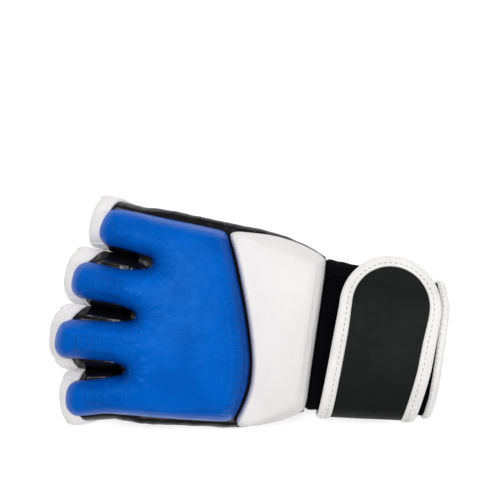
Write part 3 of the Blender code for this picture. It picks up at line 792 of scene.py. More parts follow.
def mark_creases(made, points):
    """Attributes for the pad's material: where its fine creases are, and how those at the slits run."""
    x, y = points[:, 0], points[:, 1]
    seam = seam_x(y) - 0.8 - x
    ticks = smooth(1.5, 4.0, seam) * smooth(11.0, 7.5, seam) * smooth(34, 6, y) * smooth(-54, -46, y)
    gathers = np.zeros(len(x))
    for finger, middle in LOBE_MIDDLES.items():
        ahead, across = finger_plan(finger, x, y)
        length = FINGERS[finger][4] - 9
        along = smooth(0, 5, ahead) * smooth(length, length - 6, ahead)
        gathers += smooth(6.0, 2.5, np.abs(across + middle)) * along
    ends = np.array(list(SLIT_ENDS.values()))[:, :2]
    away = np.hypot(x - ends[:, :1], y - ends[:, 1:])
    angle = np.arctan2(y - ends[:, 1:], x - ends[:, :1])
    near = smooth(1.5, 4, away) * smooth(19, 6, away) * smooth(2.4, 1.6, np.abs(angle))
    nearest = np.argmax(near, axis=0)
    ranked = np.sort(near, axis=0)
    fan_mask = (ranked[-1] - ranked[-2]) * smooth(0.05, 0.4, ranked[-1] - ranked[-2])
    own = np.arange(len(x))
    fan = np.column_stack([angle[nearest, own] * 5.2, away[nearest, own] * 0.06, nearest * 7.0])
    attributes = made.data.attributes
    for name, values in (("ticks", ticks), ("gathers", gathers), ("fan_mask", fan_mask)):
        attributes.new(name, "FLOAT", "POINT").data.foreach_set("value", values.astype(np.float32))
    attributes.new("fan", "FLOAT_VECTOR", "POINT").data.foreach_set("vector", fan.astype(np.float32).ravel())


def finger_blend(finger):
    root, forward = finger_root(finger), finger_direction(finger)
    start = np.array([*root, Z_FLEX])
    end = start + np.array([*forward, 0.0]) * BLEND[finger]
    return "glove_body", f"{finger}_finger", tuple(place(start)), tuple(place(end))


def make_backhand_pad():
    plan, faces, distance = plan_pad(WHITE_EDGE, 1.0, 1.05)
    x, y = plan.T
    base = hand_top(x, y) - 1.0
    top = BACKHAND_TOP - 0.0012 * (y + 1) ** 2 - 0.03 * (x - 5)
    welted = smooth(-4, 3, x - WHITE_WELT_START + 0.27 * y)
    crease = np.exp(-(((distance - 4.3) / 0.85) ** 2)) + 0.3 * smooth(4.4, 2.8, distance)
    radius = 2.8 + 7.7 * smooth(4, 28, x - seam_x(y))
    z = base + (top - base) * rolled(distance, radius) - 0.8 * welted * crease * smooth(0, 2.5, distance)
    points = np.column_stack([plan, z])
    inner = smooth(4, 12, distance)
    lift = inner * (0.5 * rough(points, 26.0, 11.0) + 0.16 * rough(points, 8.0, 12.0))
    points = points + vertex_normals(points, faces) * lift[:, None]
    made = make_mesh("backhand_pad", points, faces, WHITE, away_from=(15, 0, 15))
    finish_piece(made, ["backhand_cover", "backhand_foam"])


make_knuckle_pad()
make_backhand_pad()


# ---- palm and fingers' leather ----------------------------------------------------------------------------
FINGER_COLUMNS = 25  # columns of the palm's grid over each finger's underside
FINGER_SHARE = 0.94  # of a finger's width, which those columns take up where they start
SIDE_COLUMNS = 7  # columns up each side of the hand, under the pads
X_MORPH = -45.0  # from here forwards the palm's section turns into four finger undersides
SKIN_ANGLES = np.linspace(270, 150, 97)  # from the bottom of the hand's section up its thumb side
LEATHER_BACK = 3.4  # how far inside an opening tape's outer edge the leather ends
FRONT_NORMALS = {}  # the palm's normals where it meets each finger's sleeve


def finger_section(finger, turn, share=0.0, offset=0.0):
    """Across and up of the finger sleeve's section; turn 90 is the top, and 0 its little-finger side."""
    root_half, end_half = FINGERS[finger][2:4]
    half = root_half + (end_half - root_half) * share + offset
    cosine, sine = cos_sin(turn)
    across = half * power(cosine, 2 / FINGER_SQUARE)
    return across, (FINGER_HALF_HEIGHT + offset) * power(sine, 2 / FINGER_SQUARE)


def sleeve_point(finger, turn, share, offset=0.0, past=0.0):
    """Point on the sleeve round the finger (turn) and along it (share), or past millimetres further on."""
    across, up = finger_section(finger, turn, share, offset)
    length, shorter = FINGERS[finger][4:6]
    end = length - shorter * (1 - up / FINGER_HALF_HEIGHT) / 2 - MOUTH_PULL
    return finger_place(finger, end * share + past, across, up)


def lower_turns():
    """Turns over the underside of a finger, from its thumb side to its little-finger side."""
    even = np.linspace(-1, 1, FINGER_COLUMNS)
    return 270 + 90 * np.sign(even) * np.abs(even) ** 0.85


UPPER_TURNS = np.linspace(0, 180, 27)[1:-1]


def arc_angles(x, shares):
    """Angles at these shares of the length of the section's lower half at x, from the thumb side."""
    angles = np.linspace(180, 360, 241)
    length = travelled(hand_point(x, angles))
    return np.interp(shares * length[-1], length, angles)


def palm_columns():
    """The palm's lower columns, and each one's share of the section from the thumb side.

    A column is a finger and a turn round it or, for the one in a web, the fingers on its two sides."""
    columns, across = [], []
    names = list(FINGERS)
    for finger, after in zip(names, names[1:] + [None]):
        root_y, _, half = FINGERS[finger][:3]
        columns += [(finger, turn) for turn in lower_turns()]
        across += list(root_y + half * FINGER_SHARE * np.linspace(-1, 1, FINGER_COLUMNS))
        if after:
            columns.append((finger, after))
            start = FINGERS[after][0] - FINGERS[after][2] * FINGER_SHARE
            across.append((across[-1] + start) / 2)
    across = np.array(across)
    return columns, (across - across[0]) / (across[-1] - across[0])


def front_point(column):
    """Where a column of the palm's grid meets the fingers' bend lines."""
    if column[1] in FINGERS:
        low = finger_place(column[0], 0.0, FINGERS[column[0]][2], 0.0)
        high = finger_place(column[1], 0.0, -FINGERS[column[1]][2], 0.0)
        return (low + high) / 2 + (1.2, 0.0, 0.0)
    across, up = finger_section(column[0], column[1])
    return finger_place(column[0], 0.0, across, up)


def palm_wrinkles(points, normals):
    """Slack folds that run diagonally across the palm, and finer creases between the two openings."""
    x, y, z = np.moveaxis(points, -1, 0)
    slow = rough(points, 34.0, 4.0)
    broad = np.sin((x * 0.55 + y * 0.9) * 0.105 + 2.2 * slow) * smooth(16, 8, z)
    fine = np.sin((x * 0.9 - y * 0.5) * 0.36 + 3.0 * rough(points, 16.0, 6.0)) * smooth(0.1, 0.5, slow)
    small = rough(points * (1, 0.5, 1), 6.0, 9.0)
    side = rough(points * (1.0, 0.5, 0.45), 5.5, 14.0) * smooth(12, 20, z)
    lift = 0.55 * broad + 0.45 * side + 0.16 * fine + 0.2 * small + 0.35 * slow
    lift = np.minimum(lift, 0.55) * smooth(37.5, 31, x) * smooth(-68.5, -62, x)
    return points + normals * lift[..., None]


def palm_side(x, s_front, hand_angles, finger, turns):
    """Columns up one side of the hand, from the section's angles to one finger's turns at the front."""
    rows = []
    front = np.array([finger_place(finger, 0.0, *finger_section(finger, turn)) for turn in turns])
    for at, s in zip(x, s_front):
        hand = hand_point(np.full(len(turns), max(at, X_ROOTS)), hand_angles)
        row = hand * (1 - s**2) + front * s**2
        row[:, 0] = at if s == 0 else X_MORPH + (front[:, 0] - X_MORPH) * s
        rows.append(row)
    return np.array(rows)


def make_palm():
    columns, shares = palm_columns()
    fronts = np.array([front_point(column) for column in columns])
    turn_off = np.array([0.0 if column[1] in FINGERS else abs((column[1] - 270) / 90) for column in columns])
    steepness = 2.0 + 4.5 * turn_off**2
    steepness[: FINGER_COLUMNS // 2] = steepness[-(FINGER_COLUMNS // 2):] = 2.0
    steepness[[column[1] in FINGERS for column in columns]] = 7.0
    x_rows = np.linspace(37.6, X_MORPH, 44)
    rows = [hand_point(x, arc_angles(x, shares)) for x in x_rows]
    morph = np.linspace(0, 1, 15)[1:]
    for s in morph:
        x = X_MORPH + (fronts[:, 0] - X_MORPH) * s
        hand = hand_point(np.maximum(x, X_ROOTS), arc_angles(X_MORPH + (X_ROOTS - X_MORPH) * s, shares))
        share = (s**steepness)[:, None]
        row = hand * (1 - share) + fronts * share
        row[:, 0] = x
        rows.append(row)
    all_x = np.concatenate([x_rows, X_MORPH + (X_ROOTS - X_MORPH) * morph])
    all_s = np.concatenate([np.zeros(len(x_rows)), morph])
    left = palm_side(all_x, all_s, np.linspace(146, 177, SIDE_COLUMNS), "index", UPPER_TURNS[-SIDE_COLUMNS:])
    right = palm_side(all_x, all_s, np.linspace(363, 394, SIDE_COLUMNS), "pinky", UPPER_TURNS[:SIDE_COLUMNS])
    grid = np.concatenate([left, np.array(rows), right], axis=1)
    centre = np.array([-15.0, -2.0, 24.0])
    grid = palm_wrinkles(grid, outward_normals(grid, centre))
    normals = outward_normals(grid, centre)
    for i, finger in enumerate(FINGERS):
        first = SIDE_COLUMNS + i * (FINGER_COLUMNS + 1)
        span = slice(first, first + FINGER_COLUMNS)
        normals[-1, span] = unit(normals[-1, span] + sleeve_grid(finger)[3][0, :FINGER_COLUMNS])
        FRONT_NORMALS[finger] = normals[-1, span]
    made = make_shell("palm_leather", grid, normals, LEATHER, BLACK, keep=palm_keep(grid))
    finish_piece(made, ["palm_panel"])


def opening_narrowing(lengthwise):
    """An opening is an ellipse that gets narrower towards the fingers."""
    return 1 - 0.16 * np.maximum(0, -lengthwise)


def palm_keep(grid):
    """Which cells of the palm's grid are leather: not those inside the two openings."""
    centre = (grid[:-1, :-1] + grid[1:, :-1] + grid[:-1, 1:] + grid[1:, 1:]) / 4
    x, y, z = np.moveaxis(centre, -1, 0)
    keep = np.ones(x.shape, bool)
    below = z < station(x, 4) + 1
    on_thumb_side = y < (station(x, 1) + station(x, 2)) / 2
    for kind, across, near in (("palm", y, z < 15), ("thumb", skin_along(centre), on_thumb_side)):
        at_x, at_across, half_long, half_wide = OPENINGS[kind]
        lengthwise = (x - at_x) / (half_long - LEATHER_BACK)
        crosswise = (across - at_across) / ((half_wide - LEATHER_BACK) * opening_narrowing(lengthwise))
        keep &= ~(below & near & (lengthwise**2 + crosswise**2 < 1))
    return keep


def skin_table(x):
    """Points at SKIN_ANGLES for each x, and how far along the skin each is from the bottom."""
    table = hand_point(x[:, None], SKIN_ANGLES)
    length = np.cumsum(np.linalg.norm(np.diff(table, axis=1), axis=2), axis=1)
    return table, np.concatenate([np.zeros((len(x), 1)), length], axis=1)


def skin_along(points):
    """How far along the skin each point on it is, from the bottom towards the thumb side."""
    flat = points.reshape(-1, 3)
    table, length = skin_table(flat[:, 0])
    nearest = np.argmin(np.linalg.norm(table - flat[:, None, :], axis=2), axis=1)
    return length[np.arange(len(flat)), nearest].reshape(points.shape[:-1])


def thumb_point(x, along, offset):
    """Point on the palm's skin at x, this far along it from the bottom towards the thumb side."""
    degrees = [np.interp(at, row, SKIN_ANGLES) for at, row in zip(along, skin_table(x)[1])]
    return hand_point(x, np.array(degrees), offset)


def palm_floor(x, y, offset):
    """Point on the palm's flat underside above (x, y)."""
    thumb, little, bottom, middle = (station(x, column) for column in range(1, 5))
    reach = np.minimum(0.999, np.abs(y - (thumb + little) / 2) / ((little - thumb) / 2))
    depth = (middle - bottom + offset) * (1 - reach**HAND_BOTTOM_SQUARE) ** (1 / HAND_BOTTOM_SQUARE)
    return np.stack([x, y, middle - depth], axis=-1)


def opening_line(kind, grow, offset, count):
    """Closed line round an opening, grown within the skin and lifted off it."""
    centre, middle, half_long, half_wide = OPENINGS[kind]
    cosine, sine = cos_sin(full_turn(count))
    x = centre + (half_long + grow) * cosine
    across = middle + (half_wide + grow) * sine * opening_narrowing(cosine)
    return palm_floor(x, across, offset) if kind == "palm" else thumb_point(x, across, offset)


def waver(count, period, seed, closed=True):
    """A slowly changing random number for each of count places along a tape."""
    cosine, sine = cos_sin(np.linspace(0, 360, count, endpoint=not closed))
    return rough(np.column_stack([cosine, sine, 0 * sine]) * count / period / 2, 1.0, seed)


STITCH_PATHS = []  # lines of stitches that move with the glove body


def make_opening_tape(kind):
    """The folded tape round an opening: a flat roll whose inner edge is puckered."""
    count = 190
    pucker = 0.45 * waver(count, 3.0, 3.0 + len(kind)) + 0.5 * waver(count, 9.0, 5.0)
    swell = 0.16 * waver(count, 4.0, 9.0) + 0.1 * waver(count, 1.8, 2.0)
    lines = []
    for cosine, sine in zip(*cos_sin(full_turn(20))):
        across, up = power(cosine, 0.62), power(sine, 0.8)
        inward = max(0.0, -across)
        grow = -TAPE_WIDE / 2 + 0.2 + (TAPE_WIDE / 2) * across + pucker * inward * 1.3
        rise = -LEATHER / 2 + 1.62 * up * (1 + 0.55 * swell * inward) + 0.22 * swell * up
        lines.append(opening_line(kind, grow, rise, count))
    made = sweep(f"{kind}_opening_tape", lines, TAPE, True)
    finish_piece(made, [f"{kind}_opening_binding"])
    STITCH_PATHS.append(stitch_line(lambda height: opening_line(kind, -1.5, height, 260), 0.82))


def sleeve_grid(finger):
    turns = np.concatenate([lower_turns(), UPPER_TURNS])
    shares = np.linspace(0, 1, 16) ** 0.9
    grid = np.array([sleeve_point(finger, turns, share) for share in shares])
    middle = np.array([sleeve_point(finger, np.array([0.0, 180.0]), share).mean(axis=0) for share in shares])
    normals = outward_normals(grid, middle[:, None, :], wrap_columns=True)
    return turns, shares, grid, normals, middle


def side_gap(finger, low_side, along):
    """Width of the gap between a finger's sleeve and its neighbour's, this far along from the bend line."""
    names = list(FINGERS)
    neighbour = names[names.index(finger) + (-1 if low_side else 1)]
    sign = -1 if low_side else 1
    here = finger_place(finger, along, sign * FINGERS[finger][2], 0.0)
    there = finger_place(neighbour, along, -sign * FINGERS[neighbour][2], 0.0)
    return np.abs(there[..., 1] - here[..., 1])


SHOULDER_IN = 1.6  # how far in a sleeve's top edge is drawn beside a slit
RING_SHOULDER_IN = 3.2  # the same on the ring finger's sleeve, towards the little finger
RIM_HEIGHT = 0.42  # of the roll beside a slit, as the sine of the turn round the sleeve


def fill_slit(finger, turns, share):
    """How the skin beside a slit moves: its shoulder becomes a rolled rim, and its side bulges until it
    almost touches the next finger's."""
    names = list(FINGERS)
    side = np.array([finger_direction(finger)[1], -finger_direction(finger)[0], 0.0])
    cosine, height = cos_sin(turns)
    under_tape = 1 - 8.0 / FINGERS[finger][4]
    tape = 1.8 * smooth(under_tape - 0.06, under_tape + 0.04, share)
    draw = smooth(0.0, 0.1, share) * smooth(1.0, 0.8, share)
    rim = smooth(-0.02, 0.05, share) * smooth(under_tape, under_tape - 0.16, share)
    out = rise = 0.0
    for low_side in (True, False):
        if finger == names[0 if low_side else -1]:
            continue
        sign = -1 if low_side else 1
        near = np.clip(cosine * sign, 0, 1)
        reach = side_gap(finger, low_side, share * FINGERS[finger][4]) / 2 - 0.12 - tape
        bulge = reach * smooth(-0.01, 0.05, share) * near**0.8 * smooth(0.6, 0.0, height)
        shoulder = RING_SHOULDER_IN if finger == "ring" and not low_side else SHOULDER_IN
        drawn = shoulder * draw * near**0.6 * smooth(0.1, 0.6, height)
        out = out + sign * (bulge - drawn)
        rise = rise + 3.4 * rim * near**0.3 * np.exp(-(((height - RIM_HEIGHT) / 0.24) ** 2))
    return out[..., None] * side + rise[..., None] * np.array([0.0, 0.0, 1.0])


def make_sleeve(finger):
    turns, shares, grid, normals, middle = sleeve_grid(finger)
    seed = 11.0 + 7 * list(FINGERS).index(finger)
    cosine, sine = cos_sin(turns)
    side = np.abs(cosine)[None, :]
    folds = rough(grid * (1.0, 0.35, 0.6), 4.2, seed)
    slack = rough(grid, 12.0, seed + 3)
    lift = (0.7 * folds * (0.3 + 0.7 * side**2) + 0.5 * slack) * smooth(0.0, 0.3, shares)[:, None]
    lift = lift * smooth(1.04, 0.75, shares)[:, None] - 0.5 * smooth(0.5, 0.85, shares)[:, None] * side
    lift = np.maximum(lift, -0.05 - 2.0 * smooth(0.9, 0.5, side))
    rim = np.exp(-(((sine - RIM_HEIGHT) / 0.3) ** 2))
    lift = lift * (1 - 0.8 * rim)
    grid = grid + normals * lift[..., None] + fill_slit(finger, turns[None, :], shares[:, None])
    normals = outward_normals(grid, middle[:, None, :], wrap_columns=True)
    normals[0, :FINGER_COLUMNS] = FRONT_NORMALS[finger]
    made = make_shell(f"{finger}_sleeve_leather", grid, normals, LEATHER, BLACK, wrap_columns=True)
    finish_piece(made, [f"{finger}_sleeve"], finger_blend(finger))


def mouth_point(finger, turns, offset, past):
    share = 1 + np.asarray(past) / FINGERS[finger][4] + 0 * turns
    return sleeve_point(finger, turns, 1.0, offset, past) + fill_slit(finger, turns, share)


def make_mouth_tape(finger):
    """The folded tape round a finger's opening, with its lapped ends on the side away from the thumb."""
    count = 200
    turns = full_turn(count)
    seed = 20.0 + 3 * list(FINGERS).index(finger)
    swell = 0.2 * waver(count, 5.0, seed) + 0.12 * waver(count, 2.0, seed + 1)
    pucker = 0.45 * waver(count, 4.0, seed + 2)
    lap = np.zeros(count)
    for at in (26.0, 156.0):
        off = np.abs((turns - at + 180) % 360 - 180)
        lap += np.exp(-((off / 10.0) ** 20))
    # (distance back from the mouth, height off the sleeve's skin)
    profile = [
        (-7.0, 0.1), (-7.1, 0.8), (-6.4, 1.35), (-4.8, 1.6), (-2.8, 1.7), (-0.9, 1.6), (0.5, 1.15),
        (1.3, 0.3), (1.5, -0.8), (1.2, -1.9), (0.4, -2.7), (-1.0, -3.1), (-3.0, -3.2), (-5.2, -3.0),
        (-6.4, -2.6), (-6.7, -1.9),
    ]
    lines = []
    for past, height in profile:
        out = 1.0 if height > -0.7 else -1.0
        edge = smooth(-5.0, -7.0, past)
        level = height + out * (swell * 0.9 + 0.6 * lap * smooth(-7.2, -6.3, past))
        back = past + pucker * edge * (0.5 if out > 0 else 1.4) + (0.3 * swell + 0.5 * lap) * (1 - edge)
        lines.append(mouth_point(finger, turns, level, back))
    made = sweep(f"{finger}_mouth_tape", lines, TAPE, True)
    finish_piece(made, [f"{finger}_binding"], finger_blend(finger))
    around = full_turn(240)
    paths = [stitch_line(lambda height: mouth_point(finger, around, height, -5.6), 1.42)]
    stitches = make_stitches(f"{finger}_mouth_stitches", paths, 0.2, 1.7, 1.0, THREAD)
    finish_piece(stitches, blend=finger_blend(finger))


def make_web(low, high):
    """The gusset between two fingers: it comes from under the pad, rolls over and goes down between them."""
    y_low = FINGERS[low][0] + FINGERS[low][2]
    y_high = FINGERS[high][0] - FINGERS[high][2]
    centre_y, half = (y_low + y_high) / 2, (y_high - y_low) / 2 + 3.4
    x_back, z_back = -57.0, 37.6  # where it starts, under the pad
    apex = -69.4
    roll = 2.0  # radius that it rolls over with
    foot = 20.0  # height at which its wall ends and its tongue starts
    across = np.linspace(-1, 1, 25)
    rows = []
    steps = [("top", 0.0)]
    for kind, count in (("top", 8), ("roll", 8), ("wall", 6), ("tongue", 4)):
        steps += [(kind, t) for t in np.linspace(0, 1, count + 1)[1:]]
    rim = apex + 0.9 - 5.2 * (1 - np.sqrt(1 - (across * 0.985) ** 2))
    crown = 36.9 - 1.8 * (1 - across**2)
    for kind, t in steps:
        if kind == "top":
            x = x_back + (rim + roll - x_back) * t
            z = z_back * (1 - t) + crown * t + 0 * x
        elif kind == "roll":
            x = rim + roll - roll * np.sin(t * np.pi / 2)
            z = crown - roll * (1 - np.cos(t * np.pi / 2))
        elif kind == "wall":
            x = rim + 0.9 * np.sin(t * 3.1) * (1 - across**2)
            z = crown - roll - (crown - roll - foot) * t
        else:
            x = rim - 9.0 * t
            z = foot - 2.0 * t
        rows.append(np.column_stack([x + 0 * across, centre_y + half * across, z + 0 * across]))
    grid = np.array(rows)
    inside = np.array([-50.0, centre_y, 15.0])
    folds = rough(grid * (0.5, 1.0, 0.3), 3.4, 40.0 + centre_y)
    grid = grid + outward_normals(grid, inside) * (0.08 * folds)[..., None]
    made = make_shell(f"{low}_{high}_gusset", grid, outward_normals(grid, inside), 1.0, BLACK)
    finish_piece(made, [f"web_{low}_{high}"])


def make_hand_lining():
    angles = np.linspace(166, 14, 60)
    rows = [hand_point(np.full(60, x), angles, -LEATHER - 0.4) for x in np.linspace(-57.0, 37.0, 46)]
    grid = np.array(rows)
    normals = outward_normals(grid, np.array([-15.0, -2.0, 10.0]))
    grid = grid + normals * (0.25 * rough(grid, 13.0, 6.0) - 0.25)[..., None]
    made = make_shell("lining_mesh", grid, normals, 0.9, NAVY)
    finish_piece(made, ["hand_lining"])


def make_piping():
    """The black roll sewn into the seam between the two pads."""
    x, y = spline(SEAM_LINE, False, 0.8).T
    path = np.column_stack([x, y, hand_top(x, y) + 2.4 - 3.2 * smooth(44, 51, np.abs(y - 2))])
    forward = tangents(path, False)
    side = unit(np.cross(forward, (0, 0, 1)))
    up = np.cross(side, forward)
    radius = 1.4 * (1 + 0.07 * waver(len(y), 9.0, 4.0, False))[:, None]
    lines = [path + (side * cosine + up * sine) * radius for cosine, sine in zip(*cos_sin(full_turn(12)))]
    made = sweep("pad_seam_roll", lines, SEAM_BLACK, False)
    finish_piece(made, ["seam_piping"])


# ---- wrist ----------------------------------------------------------------------------------------------
def wrist_width(x):
    share = (x - X_HAND_END) / (X_CUFF_END - X_HAND_END)
    return 0.8 * share, 44.4 - 6.0 * share


def wrist_point(x, degrees, offset=0.0):
    """Point round the wrist: 0 degrees is the little-finger side. Its underside is flat in the middle."""
    middle_y, half_width = wrist_width(x)
    cosine, sine = cos_sin(degrees)
    y = middle_y + (half_width + offset) * power(cosine, 2 / WRIST_SQUARE)
    z = WRIST_MIDDLE_Z + (WRIST_HALF_HEIGHT + offset) * power(sine, 2 / WRIST_SQUARE)
    flat = WRIST_FLAT_Z - offset
    z = flat + np.logaddexp(0, (z - flat) * 2.5) / 2.5 - 0.25 * np.exp(-np.abs(z - flat))
    return np.stack(np.broadcast_arrays(x, y, z), axis=-1)


def make_cuff():
    turns = full_turn(150)
    x = np.concatenate([[34.0, 36.0, 38.0, 40.0], np.linspace(42, X_CUFF_END, 34)])
    tuck = -2.0 + 2.0 * smooth(36, 41, x)
    grid = np.array([wrist_point(at, turns, inset) for at, inset in zip(x, tuck)])
    grid[..., 0] -= cuff_pull(grid[..., 0], turns[None, :])
    normals = outward_normals(grid, np.array([X_STRAP, 0.0, WRIST_MIDDLE_Z]), wrap_columns=True)
    ribs = 0.16 * np.sin(grid[..., 0] * 2.4) + 0.3 * rough(grid, 14.0, 2.0)
    grid = grid + normals * (ribs - 0.25)[..., None]
    made = make_shell("cuff_elastic", grid, normals, CUFF_WALL, PILE, wrap_columns=True)
    finish_piece(made, ["wrist_cuff"])


# degrees round the wrist from which and to which the pile patch runs
PILE_FROM = 142
PILE_TO = 38


def make_pile_patch():
    turns = np.linspace(PILE_FROM, PILE_TO, 190)
    x = np.linspace(X_HAND_END + 1.0, X_CUFF_END - 4.6, 120)
    grid = np.array([wrist_point(at, turns, GAP + 0.7) for at in x])
    centre = np.array([X_STRAP, 0.0, 0.0])
    normals = outward_normals(grid, centre)
    fuzz = 0.3 * rough(grid, 1.1, 2.0) + 0.25 * rough(grid, 3.2, 7.0)
    edge = np.minimum(smooth(PILE_FROM, PILE_FROM - 2, turns), smooth(PILE_TO, PILE_TO + 2, turns))[None, :]
    edge = edge * np.minimum(smooth(39, 40.5, x), smooth(103.4, 102, x))[:, None]
    grid = grid + normals * (fuzz + 0.9 * edge - 0.8)[..., None]
    made = make_shell("pile_patch", grid, outward_normals(grid, centre), 0.9, PILE)
    finish_piece(made, ["cuff_pile_patch"])


def cuff_pull(x, degrees):
    """How far the cuff's end is drawn back at its two sides."""
    cosine = np.cos(np.radians(degrees))
    sides = 3.0 * smooth(0.55, 1.0, cosine) + 0.8 * smooth(0.55, 1.0, -cosine)
    return sides * smooth(70, X_CUFF_END, x)


def cuff_end_point(past, turns, height):
    """Point round the cuff's end, past millimetres beyond it and off its skin by height."""
    x = X_CUFF_END + past
    return wrist_point(x, turns, height) - cuff_pull(x, turns)[:, None] * (1.0, 0.0, 0.0)


def make_cuff_tape():
    count = 190
    turns = full_turn(count)
    swell = 0.16 * waver(count, 6.0, 31.0) + 0.1 * waver(count, 2.4, 32.0)
    profile = [
        (-1.8, 0.1), (-1.9, 0.8), (-1.2, 1.35), (0.0, 1.65), (1.4, 1.5), (2.3, 1.0), (2.8, 0.1), (2.9, -1.0),
        (2.7, -2.3), (1.8, -3.3), (0.4, -3.8), (-1.0, -3.7), (-1.7, -3.2), (-1.9, -2.6),
    ]
    lines = []
    for past, height in profile:
        out = 1.0 if height > -1.1 else -1.0
        edge = 0.5 * swell * smooth(-1, -2, past)
        lines.append(cuff_end_point(past + edge, turns, height + out * swell))
    made = sweep("cuff_end_tape", lines, TAPE, True)
    finish_piece(made, ["cuff_binding"])
    around = full_turn(240)
    STITCH_PATHS.append(stitch_line(lambda height: cuff_end_point(-0.8, around, height), 1.42))


# ---- strap ----------------------------------------------------------------------------------------------
TIP_REACH = 51.0
STRAP_TAPE = 7.9
STRAP_STATIONS = 24  # points across the strap's panels
PANEL_INSET = STRAP_TAPE - 1.2
PANEL_HEIGHT = 2.55
STITCH_INSET = 5.0
STITCH_HEIGHT = 3.3
LEAVE = 0.74  # share of the wrist's half width at which the strap's end leaves the cuff's curve
# (inset from the strap's edge, height) round its folded tape
STRAP_TAPE_SECTION = [
    (7.9, 1.5), (7.8, 2.6), (7.0, 3.15), (5.6, 3.3), (5.0, 3.22), (4.3, 3.32), (2.8, 3.35), (1.3, 3.0),
    (0.3, 2.35), (0.0, 1.5), (0.2, 0.6), (1.1, 0.1), (3.5, 0.0), (6.2, 0.0), (7.7, 0.1),
]


def strap_edges(y):
    """The strap's front and back edges where it crosses y."""
    lean = 4.0 * (y + 45) / 90
    return 45.0 + lean, 103.0 + lean - 2.2 * smooth(-6, -42, y)


def peel_angle(x, offset):
    """Angle round the wrist at which the strap's surface crosses the peel line."""
    middle_y, half_width = wrist_width(x)
    reach = (middle_y - PEEL_Y) / (half_width + offset)
    return 90 + np.degrees(np.arcsin(reach ** (WRIST_SQUARE / 2)))


def strap_lift(degrees):
    """Height of the strap's inner face off the cuff: sewn down below, and over the patches on top."""
    share = np.clip((180 - degrees) / 40.0, 0, 1)
    return GAP + (STRAP_LIFT - GAP) * share


def band_degrees(region, share, x, height):
    """Angle round the wrist at this share of the anchor, the sewn-down stretch, or of the flap."""
    if region == "anchor":
        return ANCHOR_END + (180 - ANCHOR_END) * share
    return 180 + (peel_angle(x, STRAP_LIFT + height) - 180) * share


def band_point(inset, side, region, share, height):
    """Point of the anchor or the flap, inset from one edge of the strap."""
    degrees = band_degrees(region, share, X_STRAP, height)
    front, back = strap_edges(wrist_point(X_STRAP, np.minimum(degrees, 180))[..., 1])
    x = front + inset if side == "front" else back - inset
    degrees = band_degrees(region, share, x, height)
    squashed = 1 - 0.28 * smooth(-0.1, -0.85, np.sin(np.radians(degrees)))
    return wrist_point(x, degrees, strap_lift(degrees) + height * squashed)


def tip_height(x, y, offset):
    """Height of the strap's end above (x, y): it follows the cuff's top, then goes straight out past it."""
    middle_y, half_width = wrist_width(x)
    reach = np.abs(y - middle_y) / (half_width + offset)
    curve = (1 - np.minimum(reach, LEAVE) ** WRIST_SQUARE) ** (1 / WRIST_SQUARE)
    slope = 0.55 * LEAVE ** (WRIST_SQUARE - 1) * (1 - LEAVE**WRIST_SQUARE) ** (1 / WRIST_SQUARE - 1)
    return WRIST_MIDDLE_Z + (WRIST_HALF_HEIGHT + offset) * (curve - slope * np.maximum(0, reach - LEAVE))


def tip_line(inset, height):
    """Line round the strap's end, inset from its edge: out along the front, round the tip and back."""
    front, back = strap_edges(20.0)
    radius = (back - front) / 2
    centre_x, centre_y = (front + back) / 2, TIP_REACH - radius
    y = np.linspace(PEEL_Y, centre_y, 26)[:-1]
    turn = np.linspace(np.pi, 0, 64)
    narrowed = inset * (1 - 0.1 * smooth(PEEL_Y + 4, centre_y, y))
    reach = radius - inset * (0.9 - 0.14 * np.sin(turn))
    there, back_again = strap_edges(y)[0] + narrowed, (strap_edges(y)[1] - narrowed)[::-1]
    x = np.concatenate([there, centre_x + reach * np.cos(turn), back_again])
    y = np.concatenate([y, centre_y + reach * np.sin(turn), y[::-1]])
    return np.stack([x, y, tip_height(x, y, STRAP_LIFT + height)], axis=-1)


def strap_blend(region):
    if region == "anchor":
        return None
    if region == "flap":
        start = np.array([76.0, wrist_point(X_STRAP, 180.0, STRAP_LIFT)[1], WRIST_MIDDLE_Z])
        return "glove_body", "strap", tuple(place(start)), tuple(place(start + (0, 0, 11.0)))
    start = np.array([76.0, PEEL_Y, 42.0])
    return "strap", "strap_end", tuple(place(start)), tuple(place(start + (0, 9.0, 0)))


def make_strap_panel(region, grid):
    normals = outward_normals(grid, np.array([X_STRAP, 0.0, WRIST_MIDDLE_Z - 4]))
    grid = grid + normals * (0.22 * rough(grid, 16.0, 12.0) - 0.1)[..., None]
    made = make_shell(f"strap_{region}_panel", grid, normals, 2.0, STRAP_BLACK)
    finish_piece(made, [f"strap_{region}"], strap_blend(region))


def make_strap_edging(name, line_at, swell, blend):
    """The tape folded over an edge, and its stitches. line_at gives the line at an inset and a height."""
    lines = [line_at(inset, rise + (swell if rise > 1.4 else 0.0)) for inset, rise in STRAP_TAPE_SECTION]
    finish_piece(sweep(f"{name}_edging", lines, TAPE, False), [f"{name}_tape"], blend)
    paths = [stitch_line(lambda height: line_at(STITCH_INSET, height), STITCH_HEIGHT, False)]
    made = make_stitches(f"{name}_stitches", paths, 0.24, 1.9, 1.2, GREY_THREAD)
    finish_piece(made, blend=blend)


